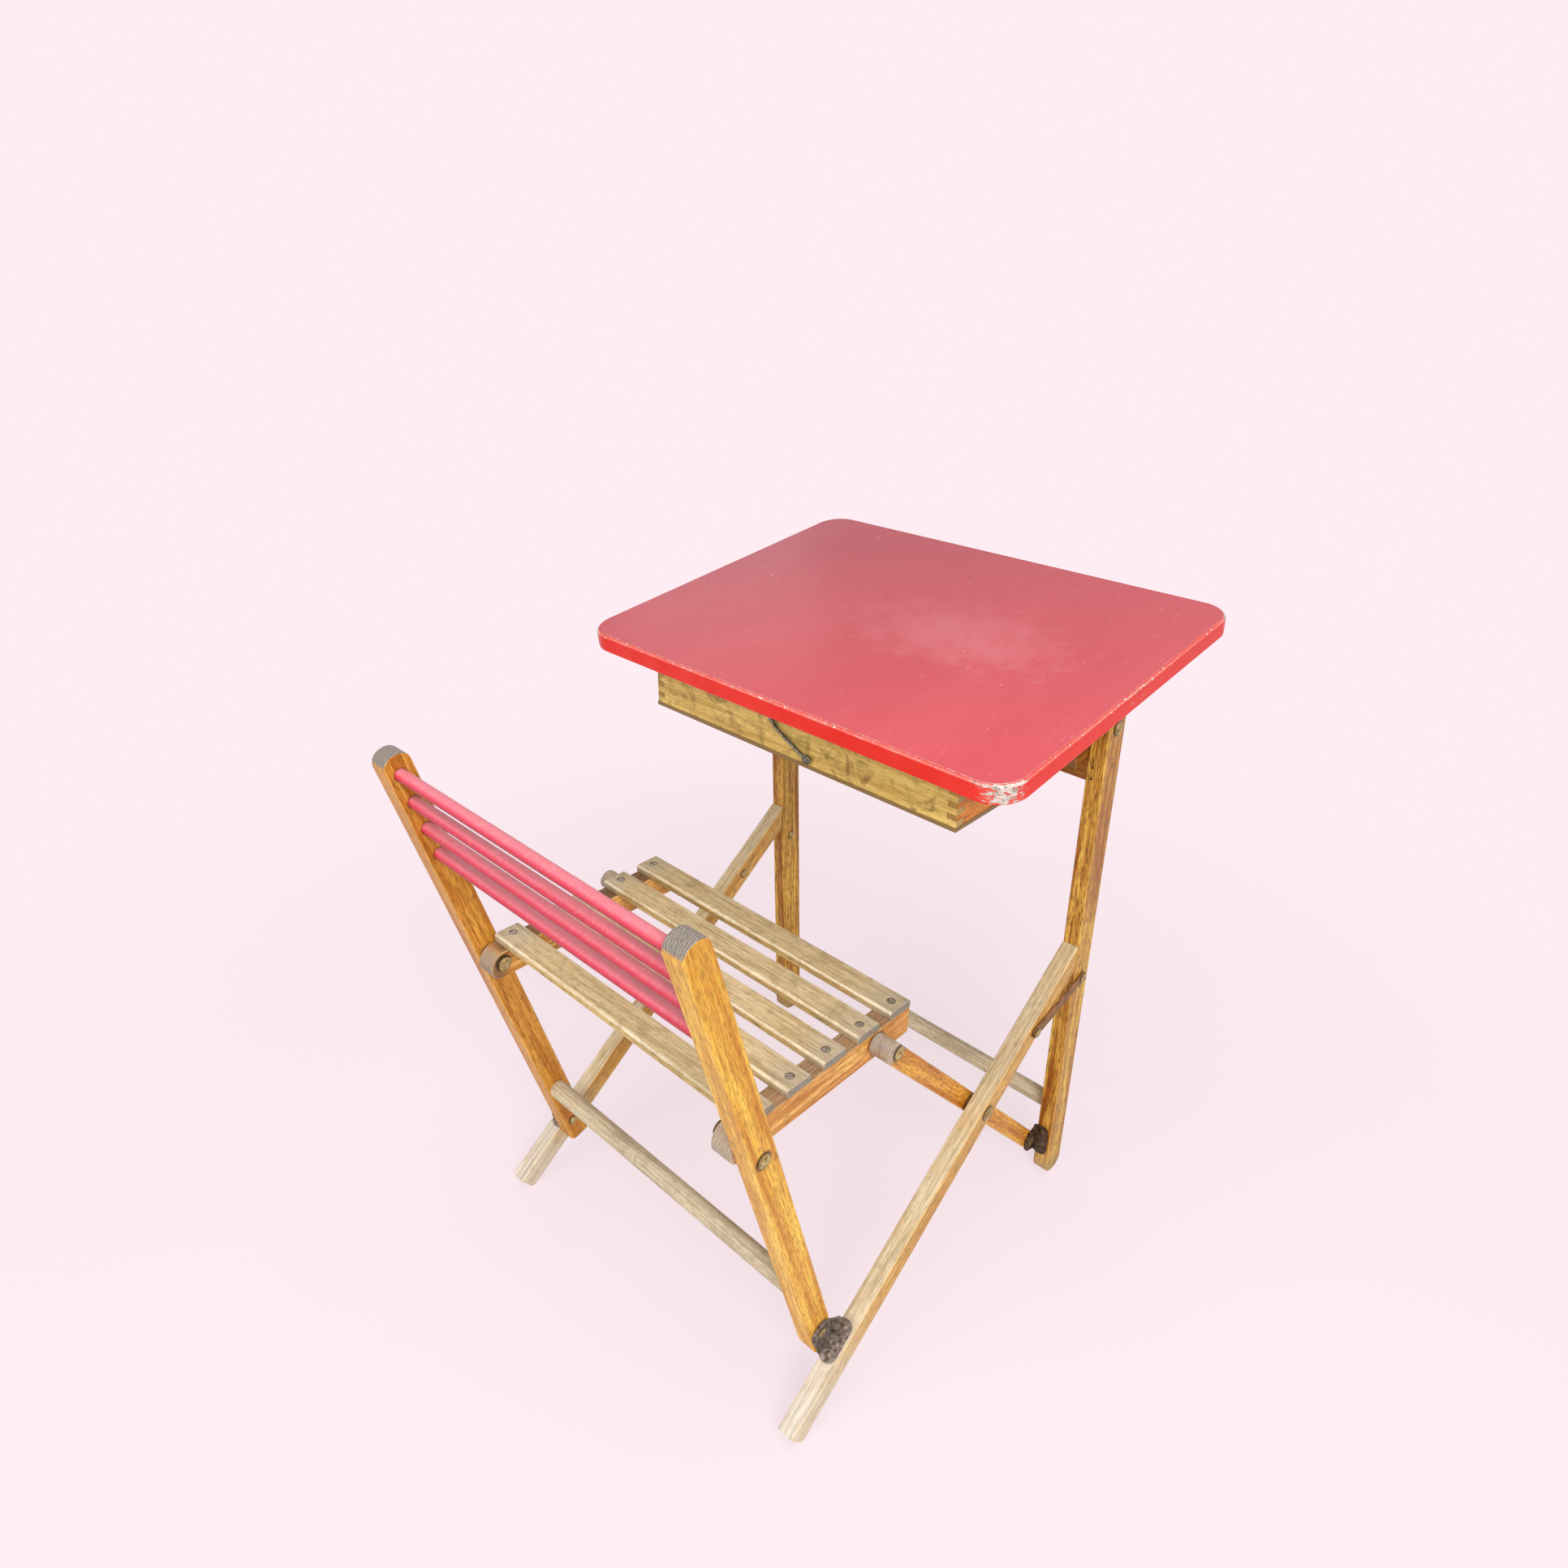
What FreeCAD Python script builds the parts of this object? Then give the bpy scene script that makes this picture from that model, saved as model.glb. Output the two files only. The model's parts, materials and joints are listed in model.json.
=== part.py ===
import FreeCAD, Part
import math
import os

# Folding school desk: a bench seat with a rodded back and a sloping desk top on one folding wooden frame.
# Millimetres. x runs to the sitter's right, y runs forward from the sitter, z runs up from the floor.
# The desk stands open. Each side of the frame is a stack of bars in parallel planes across x.

# Side view: the frame's pivots
link_pivot_y = 198.0
link_pivot_z = 207.0
post_pivot_y = -19.0
post_pivot_z = 85.0
seat_pivot_y = -94.0
seat_pivot_z = 353.0
seat_link_y = 70.6
seat_link_z = 351.6
foot_pivot_y = 341.6
foot_pivot_z = 49.2
stay_from_link = 92.95
upright_foot_y = 369.2
upright_slope = 2.2
stay_height = 283.2
desk_pivot_height = 572.8

# Across the desk: the stack of planes on each side, from outside in
top_width = 502.0
top_overhang = 36.0
leg_thick = 18.0
leg_gap = 3.5
post_thick = 21.0
rail_gap = 1.5
seat_rail_thick = 22.0

# Long leg
leg_slope = 36.87
leg_depth = 23.0
leg_below = 334.7
mitre_gap = 0.6
mitre_slope = 3.0

# Upright
upright_depth = 29.5
upright_length = 596.0
upright_foot_round = 13.0
upright_top_round = 9.0
upright_dowel_height = 97.0

# Back post with its rods and dowel
post_depth = 25.8
post_hole_offset = 1.3
post_above = 518.5
post_below = 29.0
post_foot_round = 7.0
rod_count = 4
rod_diameter = 11.5
rod_from_top = 19.8
rod_pitch = 30.0
dowel_diameter = 19.0
post_dowel_height = 58.2
tenon_depth = 12.0

# Link between seat, long leg and upright
link_depth = 20.0
link_past_seat = 15.0
link_past_foot = 11.0

# Seat
seat_rail_up = 11.0
seat_rail_down = 17.0
seat_rail_behind = 13.0
seat_rail_top_round = 16.0
seat_rail_low_round = 11.0
seat_rail_ahead = 43.9
slat_count = 5
slat_width = 28.0
slat_thick = 8.0
slat_pitch = 43.6
slat_round = 2.6

# Desk top
top_depth = 389.0
top_thick = 19.0
top_slope = 7.6
top_front_y = 99.0
top_front_z = 611.9
top_corner = 30.0
top_arris = 2.2
laminate_thick = 1.0
laminate_inset = 2.6

# Cross rail between the uprights, and the bearers that rest on it
cross_rail_top = 535.6
cross_rail_height = 19.6
cross_rail_thick = 15.0
cross_tenon_thick = 8.0
cross_tenon_height = 14.0
bearer_thick = 10.5
bearer_front_y = 190.0
bearer_nose = 26.0
bearer_step_y = 298.0
bearer_step_run = 16.0
rest_gap = 0.3
bearer_gap = 0.5

# Drawer
drawer_front_y = 137.6
drawer_length = 204.4
drawer_bottom_z = 536.4
drawer_height = 55.4
drawer_board = 10.0
drawer_bottom_thick = 4.0
drawer_bottom_lip = 0.6
drawer_gap = 1.0
finger_count = 9
runner_height = 8.0
runner_above_floor = 33.0
runner_depth = 5.0
runner_gap = 0.5
runner_end_gap = 12.0

# Wire hook on the drawer front
hook_wire = 3.4
hook_eye_x = 23.0
hook_eye_up = 6.8
hook_eye_round = 3.1
hook_run = 38.0
hook_rise = 19.0
hook_tip = 14.0
hook_tip_rise = 34.0
hook_bend = 20.0
hook_stand = 2.2
hook_pin = 1.2
hook_pin_sunk = 7.0
hook_pin_head = 3.0
hook_pin_head_height = 1.4

# Steel brackets, with a foot screwed to a bar and a tab that carries a pivot
bracket_thick = 2.4
bracket_length = 47.0
bracket_width = 17.5
bracket_corner = 8.0
bracket_tab_round = 9.5
bracket_tab_base = 36.0
bracket_screw_pitch = 27.5
bracket_side_gap = 0.5
bracket_bend = 2.0

# Flat steel stays
stay_thick = 2.0
stay_width = 12.0
stay_gap = 0.6
stay_ease = 0.5

# Fasteners
bolt_diameter = 8.0
bolt_head = 15.0
bolt_head_height = 3.0
nut_diameter = 14.0
nut_height = 3.2
rivet_diameter = 6.0
rivet_head = 10.0
rivet_head_height = 1.8
tab_rivet_head_height = 0.5
washer_diameter = 18.0
side_play = 0.3
pivot_play = 0.05
screw_diameter = 3.6
screw_head = 7.0
screw_head_height = 1.7
screw_length = 16.0
slot_width = 1.2
slot_depth = 0.9
slot_step_turn = 47.0
flush_head_height = 3.0
flush_sunk = 0.5
rail_pin_diameter = 2.6
rail_pin_length = 9.0
rail_pin_pitch = 12.0

# General
wood_ease = 1.5
thin_ease = 0.8
glue_gap = 0.05
over = 2.0
quarter_turn = 90.0
full_turn = 360.0
round_end_share = 0.46

nodes = {}
up = FreeCAD.Vector(0, 0, 1)

# Planes across x, right-hand side
leg_out = top_width / 2 - top_overhang
leg_in = leg_out - leg_thick
post_out = leg_in - leg_gap
post_in = post_out - post_thick
seat_out = post_in - rail_gap
seat_in = seat_out - seat_rail_thick


def spot(y, z):
    return FreeCAD.Vector(0, y, z)


def heading(degrees):
    return FreeCAD.Vector(0, math.cos(math.radians(degrees)), math.sin(math.radians(degrees)))


def bearing(start, end):
    return math.degrees(math.atan2(end.z - start.z, end.y - start.y))


# Places a piece drawn in its own upright frame: turned about x, then moved to a spot in the side view
def placed(shape, origin, degrees):
    moved = shape.copy()
    moved.rotate(FreeCAD.Vector(0, 0, 0), FreeCAD.Vector(1, 0, 0), degrees)
    moved.translate(origin)
    return moved


def mirrored(shape):
    return shape.mirror(FreeCAD.Vector(0, 0, 0), FreeCAD.Vector(1, 0, 0))


def both(name, shape):
    nodes[name + "_right"] = shape
    nodes[name + "_left"] = mirrored(shape)


def pair(shape):
    return Part.makeCompound([shape, mirrored(shape)])


# A closed face through corner points, each corner rounded by its own radius
def rounded_face(corners, radii):
    count = len(corners)
    starts = []
    edges = []
    arcs = []
    for i in range(count):
        here = corners[i]
        back = (corners[i - 1] - here).normalize()
        ahead = (corners[(i + 1) % count] - here).normalize()
        if radii[i] == 0:
            starts.append((here, here))
            arcs.append(None)
            continue
        half = math.acos(max(-1.0, min(1.0, back.dot(ahead)))) / 2
        reach = radii[i] / math.tan(half)
        middle = (back + ahead).normalize()
        centre = here + middle * (radii[i] / math.sin(half))
        first = here + back * reach
        last = here + ahead * reach
        starts.append((first, last))
        arcs.append(Part.Arc(first, centre - middle * radii[i], last).toShape())
    for i in range(count):
        if arcs[i] is not None:
            edges.append(arcs[i])
        edges.append(Part.LineSegment(starts[i][1], starts[(i + 1) % count][0]).toShape())
    return Part.Face(Part.Wire(edges))


# A bar with a rounded outline in the side view, between two planes of x, its outline edges eased
def bar(corners, radii, x_from, x_to, ease):
    face = rounded_face(corners, radii)
    face.translate(FreeCAD.Vector(x_from, 0, 0))
    solid = face.extrude(FreeCAD.Vector(x_to - x_from, 0, 0))
    rims = [e for e in solid.Edges if e.BoundBox.XLength < ease / 2]
    return solid.makeFillet(ease, rims)


def block(x_from, x_to, y_from, y_to, z_from, z_to):
    corner = FreeCAD.Vector(x_from, y_from, z_from)
    return Part.makeBox(x_to - x_from, y_to - y_from, z_to - z_from, corner)


def rod(at, radius, x_from, x_to):
    base = FreeCAD.Vector(x_from, at.y, at.z)
    return Part.makeCylinder(radius, x_to - x_from, base, FreeCAD.Vector(1, 0, 0))


# The arc of a low dome, from its tip on the axis to its rim
def dome_arc(tip, rim):
    height = abs(rim.x - tip.x)
    side = 1 if rim.x > tip.x else -1
    ball_radius = (rim.y * rim.y + height * height) / (2 * height)
    half = math.atan2(rim.y, ball_radius - height) / 2
    middle_x = tip.x + side * ball_radius * (1 - math.cos(half))
    return Part.Arc(tip, FreeCAD.Vector(middle_x, ball_radius * math.sin(half), 0), rim).toShape()


# A solid turned about an axis through base, from an outline of distances and radii, domed where asked
def lathe(base, way, outline, low_dome, high_dome):
    points = [FreeCAD.Vector(distance, radius, 0) for distance, radius in outline]
    start = FreeCAD.Vector(points[0].x - low_dome, 0, 0)
    end = FreeCAD.Vector(points[-1].x + high_dome, 0, 0)
    edges = [dome_arc(start, points[0]) if low_dome > 0 else Part.LineSegment(start, points[0]).toShape()]
    for here, there in zip(points, points[1:]):
        edges.append(Part.LineSegment(here, there).toShape())
    edges.append(dome_arc(end, points[-1]) if high_dome > 0 else Part.LineSegment(points[-1], end).toShape())
    edges.append(Part.LineSegment(end, start).toShape())
    face = Part.Face(Part.Wire(Part.sortEdges(edges)[0]))
    along = FreeCAD.Vector(1, 0, 0)
    solid = face.revolve(FreeCAD.Vector(0, 0, 0), along, full_turn)
    turn = FreeCAD.Rotation(along, way)
    solid.rotate(FreeCAD.Vector(0, 0, 0), turn.Axis, math.degrees(turn.Angle))
    solid.translate(base)
    return solid


# A pin along x made of steps, each with its own radius, with a dome on either end where one is asked for
def turned(at, steps, low_dome, high_dome):
    outline = [(x, radius) for x_from, x_to, radius in steps for x in (x_from, x_to)]
    return lathe(FreeCAD.Vector(0, at.y, at.z), FreeCAD.Vector(1, 0, 0), outline, low_dome, high_dome)


# The slot in an upright screw's head, cut down from the highest point of the head
def screw_slot(head_top, degrees):
    half = slot_width / 2
    slot = block(-screw_head, screw_head, -half, half, -slot_depth, over)
    slot.rotate(FreeCAD.Vector(0, 0, 0), up, degrees)
    slot.translate(head_top)
    return slot


# An upright round-headed screw, its head standing on the surface at base
def screw(base, degrees):
    shank_radius = screw_diameter / 2
    outline = [(-screw_length, shank_radius), (0, shank_radius), (0, screw_head / 2)]
    shape = lathe(base, up, outline, 0, screw_head_height)
    return shape.cut(screw_slot(base + up * screw_head_height, degrees))


def screw_hole(base):
    start = base - up * screw_length
    return Part.makeCylinder(screw_diameter / 2 + glue_gap, screw_length + over, start, up)


# An upright countersunk screw, its flat head a little below the surface at base, without its slot
def flush_outline(slack):
    shank_radius = screw_diameter / 2 + slack
    head_radius = screw_head / 2 + slack
    cone_low = -flush_sunk - flush_head_height
    return [(-screw_length, shank_radius), (cone_low, shank_radius), (-flush_sunk, head_radius)]


def flush_screw(base, degrees):
    shape = lathe(base, up, flush_outline(0), 0, 0)
    return shape.cut(screw_slot(base - up * flush_sunk, degrees))


def flush_hole(base):
    return lathe(base, up, flush_outline(glue_gap) + [(over, screw_head / 2 + glue_gap)], 0, 0)


def hole(at, diameter, x_from, x_to):
    return rod(at, diameter / 2 + pivot_play, x_from - over, x_to + over)


# Pivots in the side view
link_pivot = spot(link_pivot_y, link_pivot_z)
post_pivot = spot(post_pivot_y, post_pivot_z)
seat_pivot = spot(seat_pivot_y, seat_pivot_z)
seat_link = spot(seat_link_y, seat_link_z)
foot_pivot = spot(foot_pivot_y, foot_pivot_z)
leg_way = heading(leg_slope)
leg_up = heading(leg_slope + quarter_turn)
stay_low = link_pivot + leg_way * stay_from_link
upright_foot = spot(upright_foot_y, 0)
upright_way = heading(quarter_turn + upright_slope)
upright_front = heading(upright_slope)
stay_high = upright_foot + upright_way * stay_height
desk_pivot = upright_foot + upright_way * desk_pivot_height
floor_trim = block(-top_width, top_width, -top_width, top_depth + top_width, -top_width, 0)

# Brackets: where each stands on its bar, and how far its pivot stands off
post_stand = (post_pivot - link_pivot).dot(leg_up) - leg_depth / 2
post_bracket_at = post_pivot - leg_up * post_stand
foot_stand = (upright_foot - foot_pivot).dot(upright_front) - upright_depth / 2
foot_bracket_at = foot_pivot + upright_front * foot_stand
bracket_in = post_out + bracket_side_gap
bracket_out = bracket_in + bracket_thick


def bracket(stand):
    half = bracket_length / 2
    base = bracket_tab_base / 2
    far = stand + bracket_tab_round
    corners = [spot(-base, 0), spot(base, 0), spot(bracket_tab_round, far), spot(-bracket_tab_round, far)]
    tip = bracket_tab_round * 2 * round_end_share
    face = rounded_face(corners, [0, 0, tip, tip])
    face.translate(FreeCAD.Vector(bracket_in, 0, 0))
    tab = face.extrude(FreeCAD.Vector(bracket_thick, 0, 0))
    edge = bracket_in + bracket_width
    flat = [
        FreeCAD.Vector(bracket_in, -base, 0),
        FreeCAD.Vector(bracket_in, base, 0),
        FreeCAD.Vector(edge, half, 0),
        FreeCAD.Vector(edge, -half, 0),
    ]
    foot = rounded_face(flat, [0, 0, bracket_corner, bracket_corner])
    foot = foot.extrude(FreeCAD.Vector(0, 0, bracket_thick))
    shape = tab.fuse(foot).removeSplitter()
    bend = []
    for e in shape.Edges:
        box = e.BoundBox
        if box.XMax - bracket_in < bracket_bend / 2 and box.ZMax < bracket_bend / 2 and box.YLength > base:
            bend.append(e)
    shape = shape.makeFillet(bracket_bend, bend)
    shape = shape.cut(hole(spot(0, stand), rivet_diameter, bracket_in, bracket_out))
    for place in bracket_screw_spots():
        shape = shape.cut(screw_hole(place))
    return shape


def bracket_screw_spots():
    x = (bracket_out + bracket_in + bracket_width) / 2
    y = bracket_screw_pitch / 2
    return [FreeCAD.Vector(x, side * y, bracket_thick) for side in (-1, 1)]


def bracket_screws():
    return [screw(place, slot_step_turn * i) for i, place in enumerate(bracket_screw_spots())]


def bracket_screw_holes():
    return [screw_hole(place) for place in bracket_screw_spots()]


foot_bracket_turn = quarter_turn + upright_slope

# Long legs: square foot cut worn flat on the floor, top end mitred to meet the upright's back face
upright_back = upright_foot - upright_front * (upright_depth / 2 + mitre_gap)
mitre_way = heading(quarter_turn + upright_slope - mitre_slope)
foot_end = link_pivot - leg_way * leg_below
leg_half = leg_up * (leg_depth / 2)


def meet(point, way, other, other_way):
    cross = way.y * other_way.z - way.z * other_way.y
    gap = other - point
    return point + way * ((gap.y * other_way.z - gap.z * other_way.y) / cross)


leg_tip = meet(link_pivot + leg_half, leg_way, upright_back, upright_way)
leg_heel = meet(link_pivot - leg_half, leg_way, leg_tip, mitre_way)
leg_corners = [foot_end - leg_half, leg_heel, leg_tip, foot_end + leg_half]
leg = bar(leg_corners, [0, 0, 0, 0], leg_in, leg_out, wood_ease).cut(floor_trim)
leg = leg.cut(hole(link_pivot, bolt_diameter, leg_in, leg_out))
leg = leg.cut(hole(stay_low, rivet_diameter, leg_in, leg_out))
for cutter in bracket_screw_holes():
    leg = leg.cut(placed(cutter, post_bracket_at, leg_slope))
both("long_leg", leg)

both("post_bracket", placed(bracket(post_stand), post_bracket_at, leg_slope))
post_screws = Part.makeCompound([placed(s, post_bracket_at, leg_slope) for s in bracket_screws()])
nodes["post_bracket_screws"] = pair(post_screws)

# Rivets through a bracket tab: a flat head against the tab, a dome inside the bar it carries
tab_head_out = bracket_out + tab_rivet_head_height
rivet_radius = rivet_diameter / 2
rivet_head_radius = rivet_head / 2
tab_rivet_steps = [
    (post_in - side_play - thin_ease, post_in - side_play, rivet_head_radius),
    (post_in - side_play, bracket_out, rivet_radius),
    (bracket_out, tab_head_out, rivet_head_radius),
]
nodes["post_rivets"] = pair(turned(post_pivot, tab_rivet_steps, rivet_head_height, 0))

# Bolts that join link and long leg: dome outside the leg, a spacer between, a nut inside the link
bolt_radius = bolt_diameter / 2
bolt_head_radius = bolt_head / 2
nut_radius = nut_diameter / 2
washer_radius = washer_diameter / 2
link_bolt_steps = [
    (post_in - side_play - nut_height, post_in - side_play, nut_radius),
    (post_in - side_play, post_out + side_play, bolt_radius),
    (post_out + side_play, leg_in, washer_radius),
    (leg_in, leg_out, bolt_radius),
    (leg_out, leg_out + thin_ease, bolt_head_radius),
]
both("link_bolt", turned(link_pivot, link_bolt_steps, 0, bolt_head_height))

# Stays: flat straps outside the frame, riveted low to the long leg
stay_in = leg_out + stay_gap
stay_out = stay_in + stay_thick
stay_half = stay_width / 2
stay_turn = bearing(stay_low, stay_high)
stay_reach = (stay_high - stay_low).Length + stay_half
stay_corners = [
    spot(-stay_half, -stay_half),
    spot(stay_reach, -stay_half),
    spot(stay_reach, stay_half),
    spot(-stay_half, stay_half),
]
stay_round = stay_width * round_end_share
stay = bar(stay_corners, [stay_round] * len(stay_corners), stay_in, stay_out, stay_ease)
stay = stay.cut(hole(spot(0, 0), rivet_diameter, stay_in, stay_out))
stay_rivet_at = spot((stay_high - stay_low).Length, 0)
stay = stay.cut(hole(stay_rivet_at, rivet_diameter, stay_in, stay_out))
both("stay", placed(stay, stay_low, stay_turn))

stay_leg_steps = [
    (leg_in - thin_ease, leg_in, rivet_head_radius),
    (leg_in, stay_out + side_play, rivet_radius),
    (stay_out + side_play, stay_out + side_play + thin_ease, rivet_head_radius),
]
stay_leg_rivet = turned(stay_low, stay_leg_steps, thin_ease, rivet_head_height)
nodes["stay_leg_rivets"] = pair(stay_leg_rivet)
stay_end_steps = [
    (stay_in, stay_out, rivet_radius),
    (stay_out, stay_out + thin_ease, rivet_head_radius),
]
nodes["stay_end_rivets"] = pair(turned(stay_high, stay_end_steps, 0, rivet_head_height))
stay_upright_steps = [
    (leg_in - thin_ease, leg_in, rivet_head_radius),
    (leg_in, leg_out, rivet_radius),
]
nodes["stay_upright_rivets"] = pair(turned(stay_high, stay_upright_steps, thin_ease, 0))

# Links: bars with rounded ends, from the upright's foot bracket past the long leg to the seat rail
link_turn = bearing(foot_pivot, link_pivot)
link_half = link_depth / 2
link_span = (seat_link - foot_pivot).Length
link_round = link_depth * round_end_share
link_corners = [
    spot(-link_past_foot, -link_half),
    spot(link_span + link_past_seat, -link_half),
    spot(link_span + link_past_seat, link_half),
    spot(-link_past_foot, link_half),
]
link = bar(link_corners, [link_round] * len(link_corners), post_in, post_out, wood_ease)
link = placed(link, foot_pivot, link_turn)
link = link.cut(hole(link_pivot, bolt_diameter, post_in, post_out))
link = link.cut(hole(seat_link, bolt_diameter, post_in, post_out))
link = link.cut(hole(foot_pivot, rivet_diameter, post_in, post_out))
both("link", link)

# Bolts at the seat end of the links: the dome and shank stay with the link, the stud and nut with the rail
link_seat_steps = [
    (post_in, post_out, bolt_radius),
    (post_out, post_out + thin_ease, bolt_head_radius - thin_ease),
]
both("link_seat_bolt", turned(seat_link, link_seat_steps, 0, leg_gap - thin_ease - side_play))
seat_stud_steps = [
    (seat_in - nut_height, seat_in, nut_radius),
    (seat_in, seat_out, bolt_radius),
]
nodes["link_nuts"] = pair(turned(seat_link, seat_stud_steps, 0, 0))

# Uprights, with their dowel, foot brackets and pivots
upright_half = upright_depth / 2
upright_corners = [
    spot(-upright_half, 0),
    spot(upright_half, 0),
    spot(upright_half, upright_length),
    spot(-upright_half, upright_length),
]
upright_radii = [upright_foot_round, upright_foot_round, upright_top_round, upright_top_round]
upright = bar(upright_corners, upright_radii, leg_in, leg_out, wood_ease)
upright = placed(upright, upright_foot, upright_slope)
upright = upright.cut(floor_trim)
upright = upright.cut(hole(stay_high, rivet_diameter, leg_in, leg_out))
upright = upright.cut(hole(desk_pivot, bolt_diameter, leg_in, leg_out))
upright_dowel_at = upright_foot + upright_way * upright_dowel_height
dowel_radius = dowel_diameter / 2
upright_dowel_end = leg_in + tenon_depth
upright_dowel_hole = rod(upright_dowel_at, dowel_radius + glue_gap, -upright_dowel_end, upright_dowel_end)
upright = upright.cut(upright_dowel_hole)
for cutter in bracket_screw_holes():
    upright = upright.cut(placed(cutter, foot_bracket_at, foot_bracket_turn))

cross_mid_z = cross_rail_top - cross_rail_height / 2
upright_rear = upright_foot - upright_front * upright_half
forward = heading(0)
cross_back = meet(upright_rear, upright_way, spot(0, cross_mid_z), forward)
cross_back_y = cross_back.y + thin_ease
cross_front_y = cross_back_y + cross_rail_thick
cross_bottom_z = cross_rail_top - cross_rail_height
cross_mid_y = (cross_back_y + cross_front_y) / 2
cross_end = leg_in + tenon_depth


def cross_tenons(slack):
    half_thick = cross_tenon_thick / 2 + slack
    half_height = cross_tenon_height / 2 + slack
    reach = cross_end + slack
    low = cross_mid_z - half_height
    high = cross_mid_z + half_height
    return block(-reach, reach, cross_mid_y - half_thick, cross_mid_y + half_thick, low, high)


cross_rail = block(-leg_in, leg_in, cross_back_y, cross_front_y, cross_bottom_z, cross_rail_top)
cross_rail = cross_rail.makeFillet(thin_ease, [e for e in cross_rail.Edges if e.BoundBox.XLength > leg_in])
cross_rail = cross_rail.fuse(cross_tenons(0)).removeSplitter()
upright = upright.cut(cross_tenons(glue_gap))
rail_pin_x = (leg_in + cross_end) / 2
rail_pins = []
for side in (-1, 1):
    pin_z = cross_mid_z + side * rail_pin_pitch / 2
    pin_back = meet(upright_rear, upright_way, spot(0, pin_z), forward)
    pin_at = FreeCAD.Vector(rail_pin_x, pin_back.y, pin_z)
    pin_radius = rail_pin_diameter / 2
    rail_pins.append(Part.makeCylinder(pin_radius, rail_pin_length, pin_at, forward))
    bore_start = pin_at - forward * over
    pin_hole = Part.makeCylinder(pin_radius + glue_gap, rail_pin_length + over, bore_start, forward)
    upright = upright.cut(pin_hole)
    cross_rail = cross_rail.cut(pin_hole).cut(mirrored(pin_hole))
both("upright", upright)
nodes["cross_rail"] = cross_rail
nodes["rail_pins"] = pair(Part.makeCompound(rail_pins))
nodes["upright_dowel"] = rod(upright_dowel_at, dowel_radius, -upright_dowel_end, upright_dowel_end)

both("foot_bracket", placed(bracket(foot_stand), foot_bracket_at, foot_bracket_turn))
foot_screws = Part.makeCompound([placed(s, foot_bracket_at, foot_bracket_turn) for s in bracket_screws()])
nodes["foot_bracket_screws"] = pair(foot_screws)
nodes["foot_rivets"] = pair(turned(foot_pivot, tab_rivet_steps, rivet_head_height, 0))

# Back posts with round tops, four painted rods and a low dowel
post_turn = bearing(post_pivot, seat_pivot) - quarter_turn
post_way = heading(post_turn + quarter_turn)
post_back = post_hole_offset - post_depth / 2
post_front = post_hole_offset + post_depth / 2
post_corners = [
    spot(post_back, -post_below),
    spot(post_front, -post_below),
    spot(post_front, post_above),
    spot(post_back, post_above),
]
post_top_round = post_depth * round_end_share
post_radii = [post_foot_round, post_foot_round, post_top_round, post_top_round]
post = placed(bar(post_corners, post_radii, post_in, post_out, wood_ease), post_pivot, post_turn)
post = post.cut(hole(post_pivot, rivet_diameter, post_in, post_out))
post = post.cut(hole(seat_pivot, bolt_diameter, post_in, post_out))
rod_end = post_in + tenon_depth
rod_radius = rod_diameter / 2
for i in range(rod_count):
    rod_at = post_pivot + post_way * (post_above - rod_from_top - rod_pitch * i)
    nodes["back_rod_%d" % (i + 1)] = rod(rod_at, rod_radius, -rod_end, rod_end)
    post = post.cut(rod(rod_at, rod_radius + glue_gap, -rod_end, rod_end))
post_dowel_at = post_pivot + post_way * post_dowel_height
nodes["post_dowel"] = rod(post_dowel_at, dowel_radius, -rod_end, rod_end)
post = post.cut(rod(post_dowel_at, dowel_radius + glue_gap, -rod_end, rod_end))
both("back_post", post)

# Seat: two rails with round back ends, slats across the top, bolted to the posts
seat_turn = bearing(seat_pivot, seat_link)
seat_span = (seat_link - seat_pivot).Length
seat_front = seat_span + seat_rail_ahead
seat_corners = [
    spot(-seat_rail_behind, -seat_rail_down),
    spot(seat_front, -seat_rail_down),
    spot(seat_front, seat_rail_up),
    spot(-seat_rail_behind, seat_rail_up),
]
seat_radii = [seat_rail_low_round, wood_ease, 0, seat_rail_top_round]
seat_rail = bar(seat_corners, seat_radii, seat_in, seat_out, wood_ease)
slat_screws = []
slat_top = seat_rail_up + slat_thick
screw_x = (seat_in + seat_out) / 2
for i in range(slat_count):
    slat_y = seat_front - slat_width / 2 - slat_pitch * (slat_count - 1 - i)
    slat_corners = [
        spot(slat_y - slat_width / 2, seat_rail_up),
        spot(slat_y + slat_width / 2, seat_rail_up),
        spot(slat_y + slat_width / 2, slat_top),
        spot(slat_y - slat_width / 2, slat_top),
    ]
    slat = bar(slat_corners, [thin_ease, thin_ease, slat_round, slat_round], -seat_out, seat_out, thin_ease)
    head_at = FreeCAD.Vector(screw_x, slat_y, slat_top)
    slat_screws.append(flush_screw(head_at, slot_step_turn * i))
    cutter = flush_hole(head_at)
    seat_rail = seat_rail.cut(cutter)
    slat = slat.cut(cutter).cut(mirrored(cutter))
    nodes["seat_slat_%d" % (i + 1)] = placed(slat, seat_pivot, seat_turn)
seat_rail = placed(seat_rail, seat_pivot, seat_turn)
seat_rail = seat_rail.cut(hole(seat_pivot, bolt_diameter, seat_in, seat_out))
seat_rail = seat_rail.cut(hole(seat_link, bolt_diameter, seat_in, seat_out))
both("seat_rail", seat_rail)
nodes["slat_screws"] = pair(placed(Part.makeCompound(slat_screws), seat_pivot, seat_turn))
seat_bolt_steps = [
    (seat_in - side_play - nut_height, seat_in - side_play, nut_radius),
    (seat_in - side_play, seat_out + side_play, bolt_radius),
    (seat_out + side_play, post_in, washer_radius),
    (post_in, post_out, bolt_radius),
    (post_out, post_out + thin_ease, bolt_head_radius - thin_ease),
]
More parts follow.
